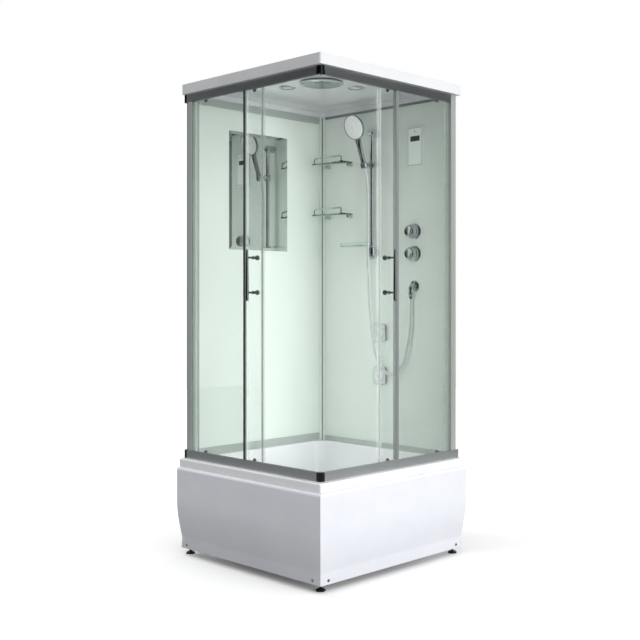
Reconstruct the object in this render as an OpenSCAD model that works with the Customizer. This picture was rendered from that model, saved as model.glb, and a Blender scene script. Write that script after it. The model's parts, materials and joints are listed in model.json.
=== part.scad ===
// Square corner-entry shower cabin with a deep tray and two sliding doors.
// Millimetres, +Z up, floor at z = 0. The glazed corner faces +X and -Y.
// The front glazing faces -Y, the side glazing faces +X, the walls stand at -X and +Y.

/* [Cabin] */
// Height of the cabin from the floor to the top of the roof
cabin_h = 2150; // [2050:5:2300]
// Distance from the middle to the outer edge of the roof and to the back of the walls
roof_half = 455; // [440:1:500]
// How far the door rails' outer faces stand in from the roof's edge
rail_inset = 18; // [12:1:24]

/* [Tray] */
// Height of the tray rim above the floor
rim_z = 438; // [400:1:480]
// How far the tray's lip stands out beyond the roof's edge
lip_out = 13; // [8:1:20]
// Height of the lip's outer band
lip_h = 36; // [25:1:50]
// Thickness of the acrylic
tray_t = 5; // [4:0.5:7]
// Height of the inside floor of the tub
tub_floor_z = 116; // [112:1:140]
// Width of the ledge between the inner face of a rail and the tub
tub_ledge = 13; // [8:1:25]
// How far each tub wall leans in from rim to floor
tub_draft = 42; // [20:1:70]
// Corner radius of the tub at the rim
tub_r = 80; // [50:1:120]

/* [Base frame and feet] */
// Side of the square steel tube
tube = 30; // [25:1:40]
// Wall of the steel tube
tube_wall = 2; // [1.5:0.5:3]
// How far the centre line of the outer tubes stands in from the roof's edge
frame_inset = 30; // [26:1:36]
// Place of the cross bearers, as a share of the frame's half width
bearer_at = 0.38; // [0.3:0.01:0.45]
// Radius of a foot's pad
pad_r = 20; // [15:1:25]
// Height of a foot's pad
pad_h = 10; // [6:1:15]
// Radius of a foot's threaded stud
stud_r = 6; // [5:0.5:8]

/* [Aprons] */
// How far the apron's flat foot stands out beyond the roof's edge
apron_out_by = 2; // [0:1:6]
// How far the apron bulges beyond its foot
apron_bulge = 30; // [10:1:40]
// Height of the apron's lower edge
apron_z = 28; // [20:1:50]
// Height of the flat foot of the apron
apron_foot_h = 47; // [30:1:80]
// Height over which the bulge grows
bulge_rise = 185; // [120:1:200]
// Radius of the apron's upper shoulder
shoulder_r = 26; // [15:1:30]
// Thickness of the apron
apron_t = 4; // [3:0.5:5]
// Height of the apron screws
screw_z = 46; // [40:1:60]
// How far the apron screws stand in from the roof's edge
screw_inset = 43; // [35:1:60]

/* [Rails] */
// Depth of a rail, outer face to inner face
rail_d = 36; // [34:1:42]
// Height of a lower rail
low_rail_h = 37; // [34:1:45]
// Height of an upper rail
top_rail_h = 36; // [34:1:45]
// Thickness of the rail walls
rail_wall = 2; // [1.5:0.5:2]
// Thickness of the roof flange's and fascia's acrylic
roof_t = 4; // [3:0.5:5]
// Height of the roof fascia
fascia_h = 45; // [40:1:60]
// Length of rail that the corner connector covers
corner_w = 24; // [20:1:30]
// Length of the dark end cap at the wall end of the front rails
end_cap_w = 16; // [10:1:20]
// Width of a wall post
post_w = 35; // [30:1:40]

/* [Glass] */
// Thickness of the clear safety glass
glass_t = 5; // [4:0.5:6]
// Depth from a rail's outer face to the fixed glass
fixed_in = 4; // [3.5:0.5:5]
// Depth from a rail's outer face to the door glass
door_in = 24; // [24:0.5:25]
// Distance of a fixed glass's free edge beyond the middle of its side
fixed_edge = 26; // [10:1:60]
// Gap between an open door's trailing edge and the inner face of its post
door_end_gap = 16; // [10:1:30]
// Gap between a closed door's leading glass edge and the other door's glass
corner_gap = 13; // [11:0.5:16]
// Position of the open door's leading glass edge along its side
door_lead = 60; // [50:1:70]
// Depth of the door glass in its rails
door_bite = 31; // [25:1:31]

/* [Rollers] */
// Radius at the bottom of a roller's groove
roller_r = 10; // [8:0.5:10]
// Height of the flanges above the groove
flange_h = 2.5; // [1.5:0.5:3]
// Width of a roller
roller_w = 8; // [6:0.5:8]
// Width of a roller's groove
groove_w = 3; // [2.5:0.5:4]
// Radius of an axle
axle_r = 3; // [2:0.5:4]
// Distance of a roller from the end of its door glass
roller_inset = 56; // [40:1:80]
// Radial clearance of everything that turns on a pin
run_gap = 0.05; // [0.02:0.01:0.1]
// Height of a lower roller's axle in its rail
low_axle_h = 23; // [21:0.5:24]
// Height of an upper roller's axle in its rail
top_axle_h = 15; // [14.5:0.5:18]
// How far below the upper rail its carriers are bolted to the glass
bolt_drop = 1; // [0:1:60]
// Radius of a carrier's inner cap
cap_r = 8; // [7:0.5:8]

/* [Handles] */
// Length of a handle bar
bar_l = 222; // [180:1:300]
// Radius of a handle bar
bar_r = 7; // [6:0.5:9]
// Distance between a handle's two posts
post_gap = 150; // [120:1:170]
// Height of the middle of a handle above the tray's rim
handle_up = 833; // [700:1:900]
// Radius of the handle bar at its upper end
bar_tip_r = 5; // [4:0.5:7]
// Distance from the outer face of the door glass to the middle of the bar
handle_out = 35; // [32:1:45]
// Distance from the inner face of the door glass to the end of the inner knob
handle_in = 26; // [15:1:30]
// Distance from a door's leading glass edge to its handle
handle_inset = 60; // [50:1:80]

/* [Walls] */
// How far a wall panel's inner face stands in from the wall's back
wall_inset = 25; // [24:1:27]
// Thickness of a wall panel
wall_t = 5; // [4:0.5:6]
// Width of the trims, wall back to inner face
trim_d = 30; // [28:1:34]
// Height of the back wall's lower trim
back_low_h = 24; // [15:1:37]
// Height of the back wall's upper trim
back_top_h = 12; // [10:1:36]
// Length of each arm of the far corner profile
corner_arm = 50; // [45:1:60]
// Width of the mirror
mirror_w = 370; // [300:1:450]
// Height of the mirror
mirror_h = 566; // [400:1:700]
// Distance from the roof's lower edge down to the mirror
mirror_drop = 135; // [60:1:300]
// Thickness of the mirror
mirror_t = 4; // [3:0.5:6]

/* [Roof] */
// Height of the ceiling above the roof's lower edge
ceiling_h = 23; // [15:1:28]
// Radius of the stepped boss round the rain head
boss_r = 178; // [150:1:180]
// Width of the boss's outer step
boss_ring = 50; // [30:1:60]
// Depth of each step of the boss
boss_step = 4; // [2:0.5:5]
// Distance of the rain head from the middle, towards the glazed corner
head_off = 150; // [140:1:170]
// Radius of the rain head
head_r = 95; // [75:1:110]
// Thickness of the rain head's rim
head_t = 10; // [8:1:14]
// Radius of a ceiling lamp
lamp_r = 38; // [30:1:40]
// Distance of a ceiling lamp from the rain head
lamp_away = 220; // [215:1:230]

/* [Slide bar and handset] */
// Place of the slide bar along the back wall
slide_x = -42; // [-60:1:-20]
// Distance of the slide bar from the wall panel
slide_out = 42; // [38:1:60]
// Radius of the slide bar
slide_r = 10; // [8:0.5:11]
// Distance from the roof's lower edge down to the upper mount
slide_drop = 125; // [100:1:200]
// Distance between the two mounts
slide_span = 588; // [550:1:650]
// Radius of the mounts
mount_r = 19; // [16:1:22]
// Distance from the upper mount down to the slider
slider_drop = 158; // [150:1:300]
// Height of the slider's collar
slider_h = 38; // [30:1:45]
// Lean of the handset towards the bather
handset_lean = 20; // [10:1:30]
// Distance from the slide bar to the handset's seat
cradle_out = 60; // [55:1:70]
// Radius of the handset's handle at its foot
grip_r = 12; // [10:0.5:13]
// Distance from the handset's seat to the middle of its head
head_up = 180; // [165:1:190]
// Radius of the handset's head
spray_r = 62; // [50:1:65]
// Thickness of the handset's head
spray_t = 22; // [18:1:26]
// Radius of the hose
hose_r = 7; // [6:0.5:8]

/* [Valves, jets and panel] */
// Place of the valve column along the back wall
valve_x = 190; // [170:1:210]
// Height of the mixer knob above the tray's rim
mixer_up = 1050; // [950:1:1100]
// Distance from the mixer knob down to the diverter knob
diverter_drop = 106; // [100:1:140]
// Radius of a knob
knob_r = 34; // [28:1:36]
// Length of a knob
knob_l = 40; // [30:1:50]
// Radius of a knob's wall plate
plate_r = 39; // [36:1:42]
// Thickness of a wall plate
plate_t = 6; // [4:0.5:8]
// Radius of a knob's spindle
spindle_r = 8; // [6:0.5:10]
// Distance from the mixer knob down to the hose elbow
elbow_drop = 261; // [240:1:300]
// Radius of the elbow's wall plate
elbow_r = 29; // [24:1:32]
// Place of the body jets along the back wall
jet_x = -22; // [-40:1:0]
// Height of the upper body jet above the tray's rim
jet_up = 562; // [500:1:620]
// Distance between the body jets
jet_span = 209; // [150:1:250]
// Side of a jet's square frame
jet_w = 84; // [76:1:90]
// Thickness of a jet's frame
jet_t = 12; // [10:1:16]
// Radius of a jet's ball
ball_r = 26; // [22:1:28]
// Width of the control panel
panel_w = 97; // [80:1:110]
// Height of the control panel
panel_h = 187; // [150:1:200]
// Thickness of the control panel
panel_t = 12; // [8:1:16]
// Distance from the roof's lower edge down to the control panel
panel_drop = 120; // [60:1:300]

/* [Shelves] */
// Width of a shelf
shelf_w = 215; // [180:1:240]
// Depth of a shelf
shelf_d = 89; // [70:1:100]
// Thickness of a shelf
shelf_t = 6; // [5:0.5:8]
// Distance from the roof's lower edge down to the lower face of the upper shelf
shelf_drop = 255; // [200:1:400]
// Distance between the two shelves
shelf_span = 260; // [200:1:300]
// Height of the gallery rail above the shelf
gallery_h = 26; // [20:1:40]

/* [Hidden] */
$fn = 64;
rail_face = roof_half - rail_inset;
lip_face = roof_half + lip_out;
frame_half = roof_half - frame_inset;
apron_face = roof_half + apron_out_by;
screw_x = roof_half - screw_inset;
wall_face = roof_half - wall_inset;
roof_z = cabin_h - fascia_h;
handle_z = rim_z + handle_up;
mirror_z = roof_z - mirror_drop - mirror_h;
slide_top_z = roof_z - slide_drop;
slide_low_z = slide_top_z - slide_span;
slider_z = slide_top_z - slider_drop;
mixer_z = rim_z + mixer_up;
diverter_z = mixer_z - diverter_drop;
elbow_z = mixer_z - elbow_drop;
jet_top_z = rim_z + jet_up;
jet_low_z = jet_top_z - jet_span;
panel_z = roof_z - panel_drop - panel_h;
shelf_top_z = roof_z - shelf_drop;
shelf_low_z = shelf_top_z - shelf_span;
top_rail_z = roof_z - top_rail_h;
low_rail_top = rim_z + low_rail_h;
rail_in = rail_face - rail_d;
fixed_y = rail_face - fixed_in - glass_t;
door_y = rail_face - door_in - glass_t;
door_travel = door_y - corner_gap - door_lead;
door_w = door_lead + rail_in - door_end_gap;
door_trail = door_lead - door_w;
door_z0 = low_rail_top - door_bite;
door_z1 = top_rail_z + door_bite - 1;
track_d = (fixed_in + glass_t + 1 + rail_wall + door_in - 2) / 2 + 1;
roller_y = rail_face - track_d;
low_axle_z = rim_z + low_axle_h;
top_axle_z = top_rail_z + top_axle_h;
low_bolt_z = low_rail_top - 1;
top_bolt_z = top_rail_z - bolt_drop;
lead_x = door_lead - roller_inset;
trail_x = door_trail + roller_inset;
handle_x = door_lead - handle_inset;
slot_gap = 0.75;
mid_wall_d = fixed_in + glass_t + 1;
arm_t = 1.7;
tub_near = rail_in - tub_ledge;
tub_far = roof_half - corner_arm;
tub_w = tub_near + tub_far;
tub_c = (tub_near - tub_far) / 2;
frame_top = tub_floor_z - tray_t - 1;
trim_face = roof_half - trim_d;
wall_z0 = rim_z + 4;
wall_z1 = roof_z - 5;
slide_y = wall_face - slide_out;
seat_y = slide_y - cradle_out;
seat_z = slider_z + 4;
elbow_y = wall_face - 27;
pipe_y = roof_half + 10;
pipe_r = 6;
inlet_end = apron_face + apron_bulge;
waste_z = 52;
head_z = roof_z + ceiling_h - 2 * boss_step;
seal_clear = 0.4;
feed_z = roof_z + ceiling_h + roof_t + pipe_r + 1.7;

// Points of the hose between its ends: place along the wall, distance from the wall, height
hose_hang = [[-42, 76, 1738], [-42, 72, 1660], [-41, 72, 1560], [-41, 73, 1450], [-38, 74, 1330],
    [-32, 74, 1210], [-23, 73, 1090], [-9, 71, 980], [10, 68, 890], [40, 63, 834], [72, 57, 808],
    [102, 51, 806], [130, 45, 826], [155, 39, 870], [174, 34, 930], [185, 29, 1000], [190, 27, 1070]];

// The hose leaves the handset along its handle and enters the elbow's nut from straight below
hose_down = [0, sin(handset_lean), -cos(handset_lean)];
hose_start = [slide_x, seat_y, seat_z] + 24.06 * hose_down;
hose_end = [valve_x, elbow_y, elbow_z - 59];
hose_route = concat([for (d = [0, 14, 30]) hose_start + d * hose_down],
    [for (p = hose_hang) [p[0], wall_face - p[1], p[2]]],
    [for (d = [36, 16, 0]) hose_end - [0, 0, d]]);

// Swaps the front glazing for the side glazing, across the cabin's diagonal
module to_side() mirror([1, 1, 0]) children();

// Flat rounded rectangle, centred
module rounded_rect(w, h, r) {
    square([w - 2 * r, h], center = true);
    square([w, h - 2 * r], center = true);
    for (sx = [-1, 1], sy = [-1, 1]) translate([sx * (w / 2 - r), sy * (h / 2 - r)]) circle(r);
}

// Cylinder along Y, from y0 to y1
module y_rod(r, y0, y1) translate([0, y0, 0]) rotate([-90, 0, 0]) cylinder(r = r, h = y1 - y0);

// Cylinder along X, from x0 to x1
module x_rod(r, x0, x1) translate([x0, 0, 0]) rotate([0, 90, 0]) cylinder(r = r, h = x1 - x0);

// Extrudes an outline drawn as depth inwards from the rail's outer face and height, along the front
module along_front(x0, x1) {
    translate([x1, -rail_face, 0]) rotate([90, 0, -90]) linear_extrude(x1 - x0) mirror([1, 0]) children();
}

// Everything on the front's own side of the diagonal between the two glazed sides
module mitre_cut(gap) {
    difference() {
        children();
        rotate([0, 0, -45]) translate([0, -gap / 2, -1]) cube([2 * roof_half, 2 * roof_half, cabin_h + 2]);
    }
}

module square_tube(a, b) {
    d = b - a;
    along_x = abs(d[0]) > abs(d[1]);
    l = along_x ? d[0] : d[1];
    translate(a) rotate([0, 0, along_x ? 0 : 90]) difference() {
        translate([0, -tube / 2, 0]) cube([l, tube, tube]);
        translate([-1, -tube / 2 + tube_wall, tube_wall])
            cube([l + 2, tube - 2 * tube_wall, tube - 2 * tube_wall]);
    }
}

module base_frame() color("#5c6166") {
    z = frame_top - tube;
    bearer_y = [-bearer_at * frame_half, bearer_at * frame_half];
    difference() {
        union() {
            for (s = [-1, 1]) square_tube([-frame_half - tube / 2, s * frame_half, z],
                [frame_half + tube / 2, s * frame_half, z]);
            for (s = [-1, 1]) square_tube([s * frame_half, -frame_half + tube / 2, z],
                [s * frame_half, frame_half - tube / 2, z]);
            for (y = bearer_y) square_tube([-frame_half + tube / 2, y, z], [frame_half - tube / 2, y, z]);
            for (sx = [-1, 1], sy = [-1, 1]) translate([sx * frame_half, sy * frame_half, frame_top])
                difference() {
                    h = rim_z - tray_t - frame_top;
                    translate([-12.5, -12.5, 0]) cube([25, 25, h]);
                    translate([-10.5, -10.5, -1]) cube([21, 21, h + 2]);
                }
            apron_tabs();
            to_side() apron_tabs();
        }
        for (p = foot_places()) translate([p[0], p[1], z - 1]) cylinder(r = stud_r + 0.2, h = tube_wall + 2);
    }
}

module apron_tabs() {
    z = frame_top - tube;
    y = apron_face - apron_t;
    for (s = [-1, 1]) translate([s * (screw_x - 14), 0, 0]) {
        difference() {
            translate([-12, -y, screw_z - 12]) cube([24 + 4, 3, z - screw_z + 15]);
            translate([s * 14 + (s < 0 ? 2 : 0), 0, screw_z]) y_rod(2.3, -y - 1, -y + 4);
        }
        translate([-12, -y, z]) cube([28, y - frame_half - tube / 2 + 0.5, 3]);
    }
}

function foot_places() = [for (x = [-frame_half, frame_half], y = [-frame_half, frame_half]) [x, y],
    [0, -bearer_at * frame_half], [0, bearer_at * frame_half]];

module levelling_feet() color("#2c2e30") {
    z = frame_top - tube;
    for (p = foot_places()) translate([p[0], p[1], 0]) {
        rotate_extrude() polygon([[0, 0], [pad_r - 1.5, 0], [pad_r, 1.5], [pad_r, pad_h - 4],
            [pad_r - 6, pad_h], [stud_r, pad_h], [stud_r, z + tube_wall + 8], [0, z + tube_wall + 8]]);
        translate([0, 0, z - 9]) difference() {
            cylinder(r = 11, h = 9, $fn = 6);
            translate([0, 0, -1]) cylinder(r = stud_r + 0.02, h = 11, $fn = 48);
        }
    }
}

// Tub hollow, grown outwards by t
module tub_form(t) {
    w = tub_w + 2 * t;
    hull() {
        translate([tub_c, -tub_c, rim_z - 0.5]) linear_extrude(1 + t) rounded_rect(w, w, tub_r + t, $fn = 32);
        translate([tub_c, -tub_c, tub_floor_z - t])
            linear_extrude(1) rounded_rect(w - 2 * tub_draft, w - 2 * tub_draft, tub_r - 15 + t, $fn = 32);
    }
}

module tray() color("#f4f5f7") {
    near = lip_face;
    far = roof_half;
    mid = (near - far) / 2;
    full = near + far;
    difference() {
        union() {
            translate([mid, -mid, rim_z - tray_t]) linear_extrude(tray_t) rounded_rect(full, full, 8);
            intersection() {
                tub_form(tray_t);
                translate([-lip_face, -lip_face, 0]) cube([2 * lip_face, 2 * lip_face, rim_z]);
            }
            difference() {
                translate([mid, -mid, rim_z - lip_h]) linear_extrude(lip_h) rounded_rect(full, full, 8);
                translate([mid, -mid, rim_z - lip_h - 1])
                    linear_extrude(lip_h + 2) rounded_rect(full - 2 * tray_t, full - 2 * tray_t, 4);
            }
        }
        tub_form(0);
        translate([tub_c, -tub_c, tub_floor_z - tray_t - 1]) cylinder(r = 39, h = tray_t + 3);
    }
}

module waste_trap() color("#d9dadb") {
    under = tub_floor_z - tray_t;
    axis_z = waste_z;
    pipe_end = -inlet_end - tub_c;
    translate([tub_c, -tub_c, 0]) {
        difference() {
            union() {
                rotate_extrude() polygon([[0, 27], [30, 27], [34, 33], [34, 96], [38, 96], [38, tub_floor_z],
                    [46, tub_floor_z], [45, tub_floor_z + 2], [0, tub_floor_z + 2]]);
                translate([0, 0, axis_z]) {
                    x_rod(20, pipe_end, pipe_end + 50);
                    x_rod(19, pipe_end + 49, pipe_end + 55);
                    x_rod(21.5, pipe_end + 54, -30);
                }
                translate([0, 0, axis_z]) x_rod(23.5, -64, -33);
            }
            translate([0, 0, 31]) cylinder(r = 30, h = 200);
            translate([0, 0, axis_z]) x_rod(17, pipe_end - 1, -26);
        }
        difference() {
            translate([0, 0, under - 8]) cylinder(r = 50, h = 8);
            translate([0, 0, under - 9]) cylinder(r = 38.05, h = 10);
        }
    }
}

module waste_cover() color("#d7dbde") {
    z = tub_floor_z + 2;
    translate([tub_c, -tub_c, z + 0.2]) {
        rotate_extrude() polygon([[0, 3], [26, 3], [26, 0], [42, 0], [43, 1], [43, 2.5], [36, 4.5], [22, 6.5],
            [0, 7.5]]);
        for (a = [0:120:359]) rotate([0, 0, a]) translate([26, -4, -14]) cube([2, 8, 15]);
    }
}

// Outer face of the apron at height z, as distance from the middle
function apron_out(z) = let (k = (z - apron_z - apron_foot_h) / bulge_rise)
    apron_face + apron_bulge * (k <= 0 ? 0 : k >= 1 ? 1 : sin(90 * k));

// Outline of the apron's section, shrunk inwards by t
function apron_outline(t) = let (
        z_foot = apron_z + apron_foot_h, z_top = rim_z - lip_h - 0.3, r = shoulder_r, out = apron_face + apron_bulge)
    concat([[apron_out(0) - t, apron_z + t]],
        [for (i = [0:12]) let (z = z_foot + bulge_rise * i / 12) [apron_out(z) - t, z]],
        [for (a = [0:9:90]) [out - r + (r - t) * cos(a) * 1, z_top - r + (r - t) * sin(a)]]);

module apron_section() {
    back = lip_face - 18;
    z_top = rim_z - lip_h - 0.3;
    difference() {
        polygon(concat([[back, apron_z]], apron_outline(0), [[back, z_top]]));
        polygon(concat([[back - 1, apron_z + apron_t]], apron_outline(apron_t), [[back - 1, z_top - apron_t]]));
    }
}

module apron_panel() {
    end = roof_half - 3;
    back = lip_face - 18;
    mitre_cut(0.8) {
        translate([-end, 0, 0]) rotate([90, 0, 90]) linear_extrude(end + lip_face + 30)
            mirror([1, 0]) apron_section();
        translate([-end, 0, 0]) rotate([90, 0, 90]) linear_extrude(apron_t) mirror([1, 0])
            polygon(concat([[back, apron_z]], apron_outline(0), [[back, rim_z - lip_h - 0.3]]));
    }
}

module drilled_apron() {
    difference() {
        apron_panel();
        for (s = [-1, 1]) translate([s * screw_x, 0, screw_z])
            y_rod(2.6, -apron_face - 1, -apron_face + apron_t + 1);
    }
}

module front_apron() color("#eef0f3") drilled_apron();

module side_apron() color("#eef0f3") to_side() drilled_apron();

module apron_screws() color("#b9bec3") {
    for (side = [0, 1], s = [-1, 1]) {
        if (side == 0) apron_screw(s * screw_x);
        else to_side() apron_screw(s * screw_x);
    }
}

module apron_screw(x) {
    translate([x, -apron_face, screw_z]) rotate([90, 0, 0]) rotate_extrude()
        polygon([[0, -12], [2.1, -12], [2.1, 0], [6.5, 0], [6.5, 1.2], [4.5, 3.2], [0, 3.8]]);
}

// Section of a lower rail: glazing slot, rib for the rollers and a low inner wall
module low_rail_section() {
    difference() {
        square([rail_d, low_rail_h]);
        translate([fixed_in - slot_gap, 4]) square([glass_t + 2 * slot_gap, low_rail_h]);
        translate([mid_wall_d + rail_wall, 2.5]) square([rail_d - mid_wall_d - 2 * rail_wall, low_rail_h]);
        translate([rail_d - rail_wall - 1, 18]) square([rail_wall + 2, low_rail_h]);
    }
    translate([track_d - 1, 0]) square([2, low_axle_h - roller_r - 0.1]);
}

// Section of an upper rail: glazing slot, hooked ledge for the rollers and an inner skirt
module top_rail_section() {
    difference() {
        square([rail_d, top_rail_h]);
        translate([fixed_in - slot_gap, -1]) square([glass_t + 2 * slot_gap, top_rail_h - 5]);
        translate([mid_wall_d + rail_wall, -1]) square([rail_d - mid_wall_d - 2 * rail_wall, top_rail_h - 1]);
        translate([rail_d - rail_wall - 1, -1]) square([rail_wall + 2, 13]);
    }
    translate([mid_wall_d, 0]) square([track_d + 1 - mid_wall_d, 2]);
    translate([track_d - 1, 0]) square([2, top_axle_h - roller_r - 0.1]);
}

module rail(z, x0) {
    mitre_cut(0.2) translate([0, 0, z]) along_front(x0, rail_face - corner_w) children();
}

front_end = -roof_half + end_cap_w;

module front_bottom_rail() color("#9da1a5") rail(rim_z, front_end) low_rail_section();

module side_bottom_rail() color("#9da1a5") to_side() rail(rim_z, -roof_half) low_rail_section();

module front_top_rail() color("#9da1a5") rail(top_rail_z, front_end) top_rail_section();

module side_top_rail() color("#9da1a5") to_side() rail(top_rail_z, -rail_in) top_rail_section();

module corner_block(z, h) {
    w = corner_w - 0.1;
    r = 12;
    translate([rail_face - w / 2, -rail_face + w / 2, z]) linear_extrude(h) difference() {
        square(w, center = true);
        translate([w / 2 - r, -w / 2]) difference() {
            square([r + 1, r]);
            translate([0, r]) circle(r);
        }
    }
}

module connector_leg(z) {
    translate([rail_face - corner_w - 40, -rail_face + fixed_in, z]) cube([42, glass_t, 20]);
}

module rail_connectors() color("#1f2022") {
    for (part = [[rim_z, low_rail_h, rim_z + 8], [top_rail_z, top_rail_h, top_rail_z + 6]]) {
        corner_block(part[0], part[1]);
        connector_leg(part[2]);
        to_side() connector_leg(part[2]);
        translate([-roof_half, -rail_face, part[0]]) cube([end_cap_w, rail_d, part[1]]);
        translate([-roof_half + end_cap_w - 1, -rail_face + fixed_in, part[2]]) cube([6, glass_t, 20]);
    }
}

module post_section() {
    w = post_w;
    difference() {
        translate([-rail_in - w, -rail_face]) square([w, rail_d]);
        translate([-rail_in - 18, -fixed_y - glass_t - slot_gap])
            square([19, glass_t + 2 * slot_gap]);
        translate([-wall_face - wall_t - slot_gap, -rail_in - 14]) square([wall_t + 2 * slot_gap, 15]);
    }
}

module corner_section() {
    a = corner_arm;
    difference() {
        union() {
            translate([-roof_half, roof_half - a]) square([trim_d, a]);
            translate([-roof_half, roof_half - trim_d]) square([a, trim_d]);
        }
        translate([-wall_face - wall_t - slot_gap, roof_half - a - 1]) square([wall_t + 2 * slot_gap, 14]);
        translate([-roof_half + a - 13, wall_face - slot_gap]) square([14, wall_t + 2 * slot_gap]);
    }
}

module wall_posts() color("#b4b8bb") {
    h = top_rail_z - low_rail_top;
    translate([0, 0, low_rail_top]) linear_extrude(h) post_section();
    translate([0, 0, low_rail_top]) to_side() linear_extrude(h + top_rail_h) post_section();
    translate([0, 0, rim_z]) linear_extrude(roof_z - rim_z) corner_section();
}

module trim_section(h, slot_up) {
    difference() {
        square([trim_d, h]);
        translate([roof_half - wall_face - wall_t - slot_gap, slot_up ? 4 : -1])
            square([wall_t + 2 * slot_gap, h - 2]);
    }
}

module wall_trims() color("#a9adb0") {
    l0 = -rail_in;
    l1 = roof_half - corner_arm;
    for (t = [[rim_z, low_rail_h, true], [top_rail_z, top_rail_h, false]])
        translate([-roof_half, l1, t[0]]) rotate([90, 0, 0]) linear_extrude(l1 - l0) trim_section(t[1], t[2]);
    for (t = [[rim_z, back_low_h, true], [roof_z - back_top_h, back_top_h, false]])
        to_side() translate([-roof_half, l1, t[0]]) rotate([90, 0, 0])
            linear_extrude(l1 - l0) trim_section(t[1], t[2]);
}

// Wall panel with a tongue into the post between the rails, as it stands at -X
module wall_sheet(tongue_top) {
    y0 = -rail_in + 0.3;
    y1 = roof_half - corner_arm + 12;
    translate([-wall_face - wall_t, y0, wall_z0]) cube([wall_t, y1 - y0, wall_z1 - wall_z0]);
    translate([-wall_face - wall_t, -rail_in - 13, low_rail_top + 0.3])
        cube([wall_t, 20, tongue_top - low_rail_top - 0.6]);
}

module left_wall() color("#dfe7de") wall_sheet(top_rail_z);

module back_wall() color("#c2d3c9") {
    difference() {
        to_side() wall_sheet(wall_z1);
        for (z = [mixer_z, diverter_z]) translate([valve_x, 0, z]) y_rod(18, wall_face - 1, wall_face + wall_t + 1);
        translate([valve_x, 0, elbow_z]) y_rod(11, wall_face - 1, wall_face + wall_t + 1);
        for (z = [jet_top_z, jet_low_z]) translate([jet_x, 0, z])
            y_rod(ball_r + 5, wall_face - 1, wall_face + wall_t + 1);
        for (p = concat(shelf_bosses(), [[slide_x, slide_top_z], [slide_x, slide_low_z]]))
            translate([p[0], 0, p[1]]) y_rod(4, wall_face - 1, wall_face + wall_t + 1);
        translate([panel_x() - 26, wall_face - 1, panel_z + 45]) cube([52, wall_t + 2, 100]);
    }
}

function panel_x() = valve_x + 12;

function shelf_x() = -roof_half + corner_arm / 2 + 122;

function shelf_bosses() = [for (z = [shelf_top_z, shelf_low_z], s = [-1, 1]) [shelf_x() + 10 + s * 78, z - 8]];

module roof() color("#eceded") {
    near = rail_in - 1;
    far = trim_face - 1;
    c = (near - far) / 2;
    w = near + far;
    ceiling_z = roof_z + ceiling_h;
    hx = head_off;
    difference() {
        union() {
            translate([0, 0, roof_z]) linear_extrude(fascia_h) difference() {
                rounded_rect(2 * roof_half, 2 * roof_half, 10);
                rounded_rect(2 * (roof_half - roof_t), 2 * (roof_half - roof_t), 6);
            }
            translate([0, 0, roof_z]) linear_extrude(roof_t) difference() {
                rounded_rect(2 * roof_half - 2, 2 * roof_half - 2, 9);
                translate([c, -c]) rounded_rect(w, w, 20);
            }
            translate([c, -c, roof_z]) linear_extrude(ceiling_h + roof_t) difference() {
                rounded_rect(w + 2 * roof_t, w + 2 * roof_t, 20 + roof_t);
                rounded_rect(w, w, 20);
            }
            translate([c, -c, ceiling_z]) linear_extrude(roof_t) rounded_rect(w + roof_t, w + roof_t, 20);
            translate([0, 0, cabin_h - roof_t]) linear_extrude(roof_t) difference() {
                rounded_rect(2 * roof_half - 2, 2 * roof_half - 2, 9);
                rounded_rect(2 * roof_half - 44, 2 * roof_half - 44, 12);
            }
            for (i = [0, 1]) translate([hx, -hx, ceiling_z - (i + 1) * boss_step])
                cylinder(r = boss_r - boss_ring * i, h = boss_step + 1);
        }
        for (i = [0, 1]) translate([hx, -hx, ceiling_z - (i + 1) * boss_step + roof_t])
            cylinder(r = boss_r - roof_t - boss_ring * i, h = 30);
        translate([hx, -hx, ceiling_z - 20]) cylinder(r = 11, h = 40);
        for (p = lamp_places()) translate([p[0], p[1], ceiling_z - 5]) cylinder(r = lamp_r - 7, h = 20);
        translate([rise_x(), 0, feed_z]) y_rod(pipe_r + 0.5, roof_half - roof_t - 1, roof_half + 1);
    }
}

function lamp_places() = [[head_off, -head_off + lamp_away], [head_off - lamp_away, -head_off]];

function rise_x() = valve_x + 66;

module rain_head() color("#dfe3e5") {
    translate([head_off, -head_off, 0]) rotate_extrude() polygon([
        [0, head_z - 14], [head_r - 14, head_z - 14], [head_r - 6, head_z - 13], [head_r, head_z - 8],
        [head_r, head_z - 6], [head_r - 8, head_z - 2], [60, head_z], [10.5, head_z],
        [10.5, feed_z], [0, feed_z]]);
}

module ceiling_lamps() color("#f7f7f2") {
    z = roof_z + ceiling_h;
    for (p = lamp_places()) translate([p[0], p[1], 0]) {
        rotate_extrude() polygon([[lamp_r - 9, z - 6], [lamp_r - 2, z - 5], [lamp_r, z - 2], [lamp_r, z],
            [lamp_r - 7.3, z], [lamp_r - 7.3, z + 15], [lamp_r - 9.5, z + 15]]);
        rotate_extrude() polygon([[0, z - 4], [lamp_r - 14, z - 3.4], [lamp_r - 9.5, z - 2],
            [lamp_r - 9.5, z + 12], [0, z + 12]]);
    }
}

module fixed_glass() {
    x0 = -rail_in - 17;
    translate([x0, -fixed_y - glass_t, rim_z + 4.3])
        cube([-fixed_edge - x0, glass_t, top_rail_z + 28 - rim_z - 4.3]);
}

module fixed_glasses() color("#cfe3da", 0.35) {
    fixed_glass();
    to_side() fixed_glass();
}

module fixed_seal() {
    t = 1.2;
    leg = 16;
    y = -fixed_y;
    translate([-fixed_edge, 0, low_rail_top + 0.5]) linear_extrude(top_rail_z - low_rail_top - 1) union() {
        translate([-leg, y]) square([leg + t, t]);
        translate([-leg, y - glass_t - t]) square([leg + t, t]);
        translate([0, y - glass_t]) square([t, glass_t]);
        translate([0, y]) square([t, fixed_y - door_y - glass_t - arm_t - 1]);
    }
}

module fixed_glass_seals() color("#e6ebe8", 0.6) {
    fixed_seal();
    to_side() fixed_seal();
}

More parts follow.
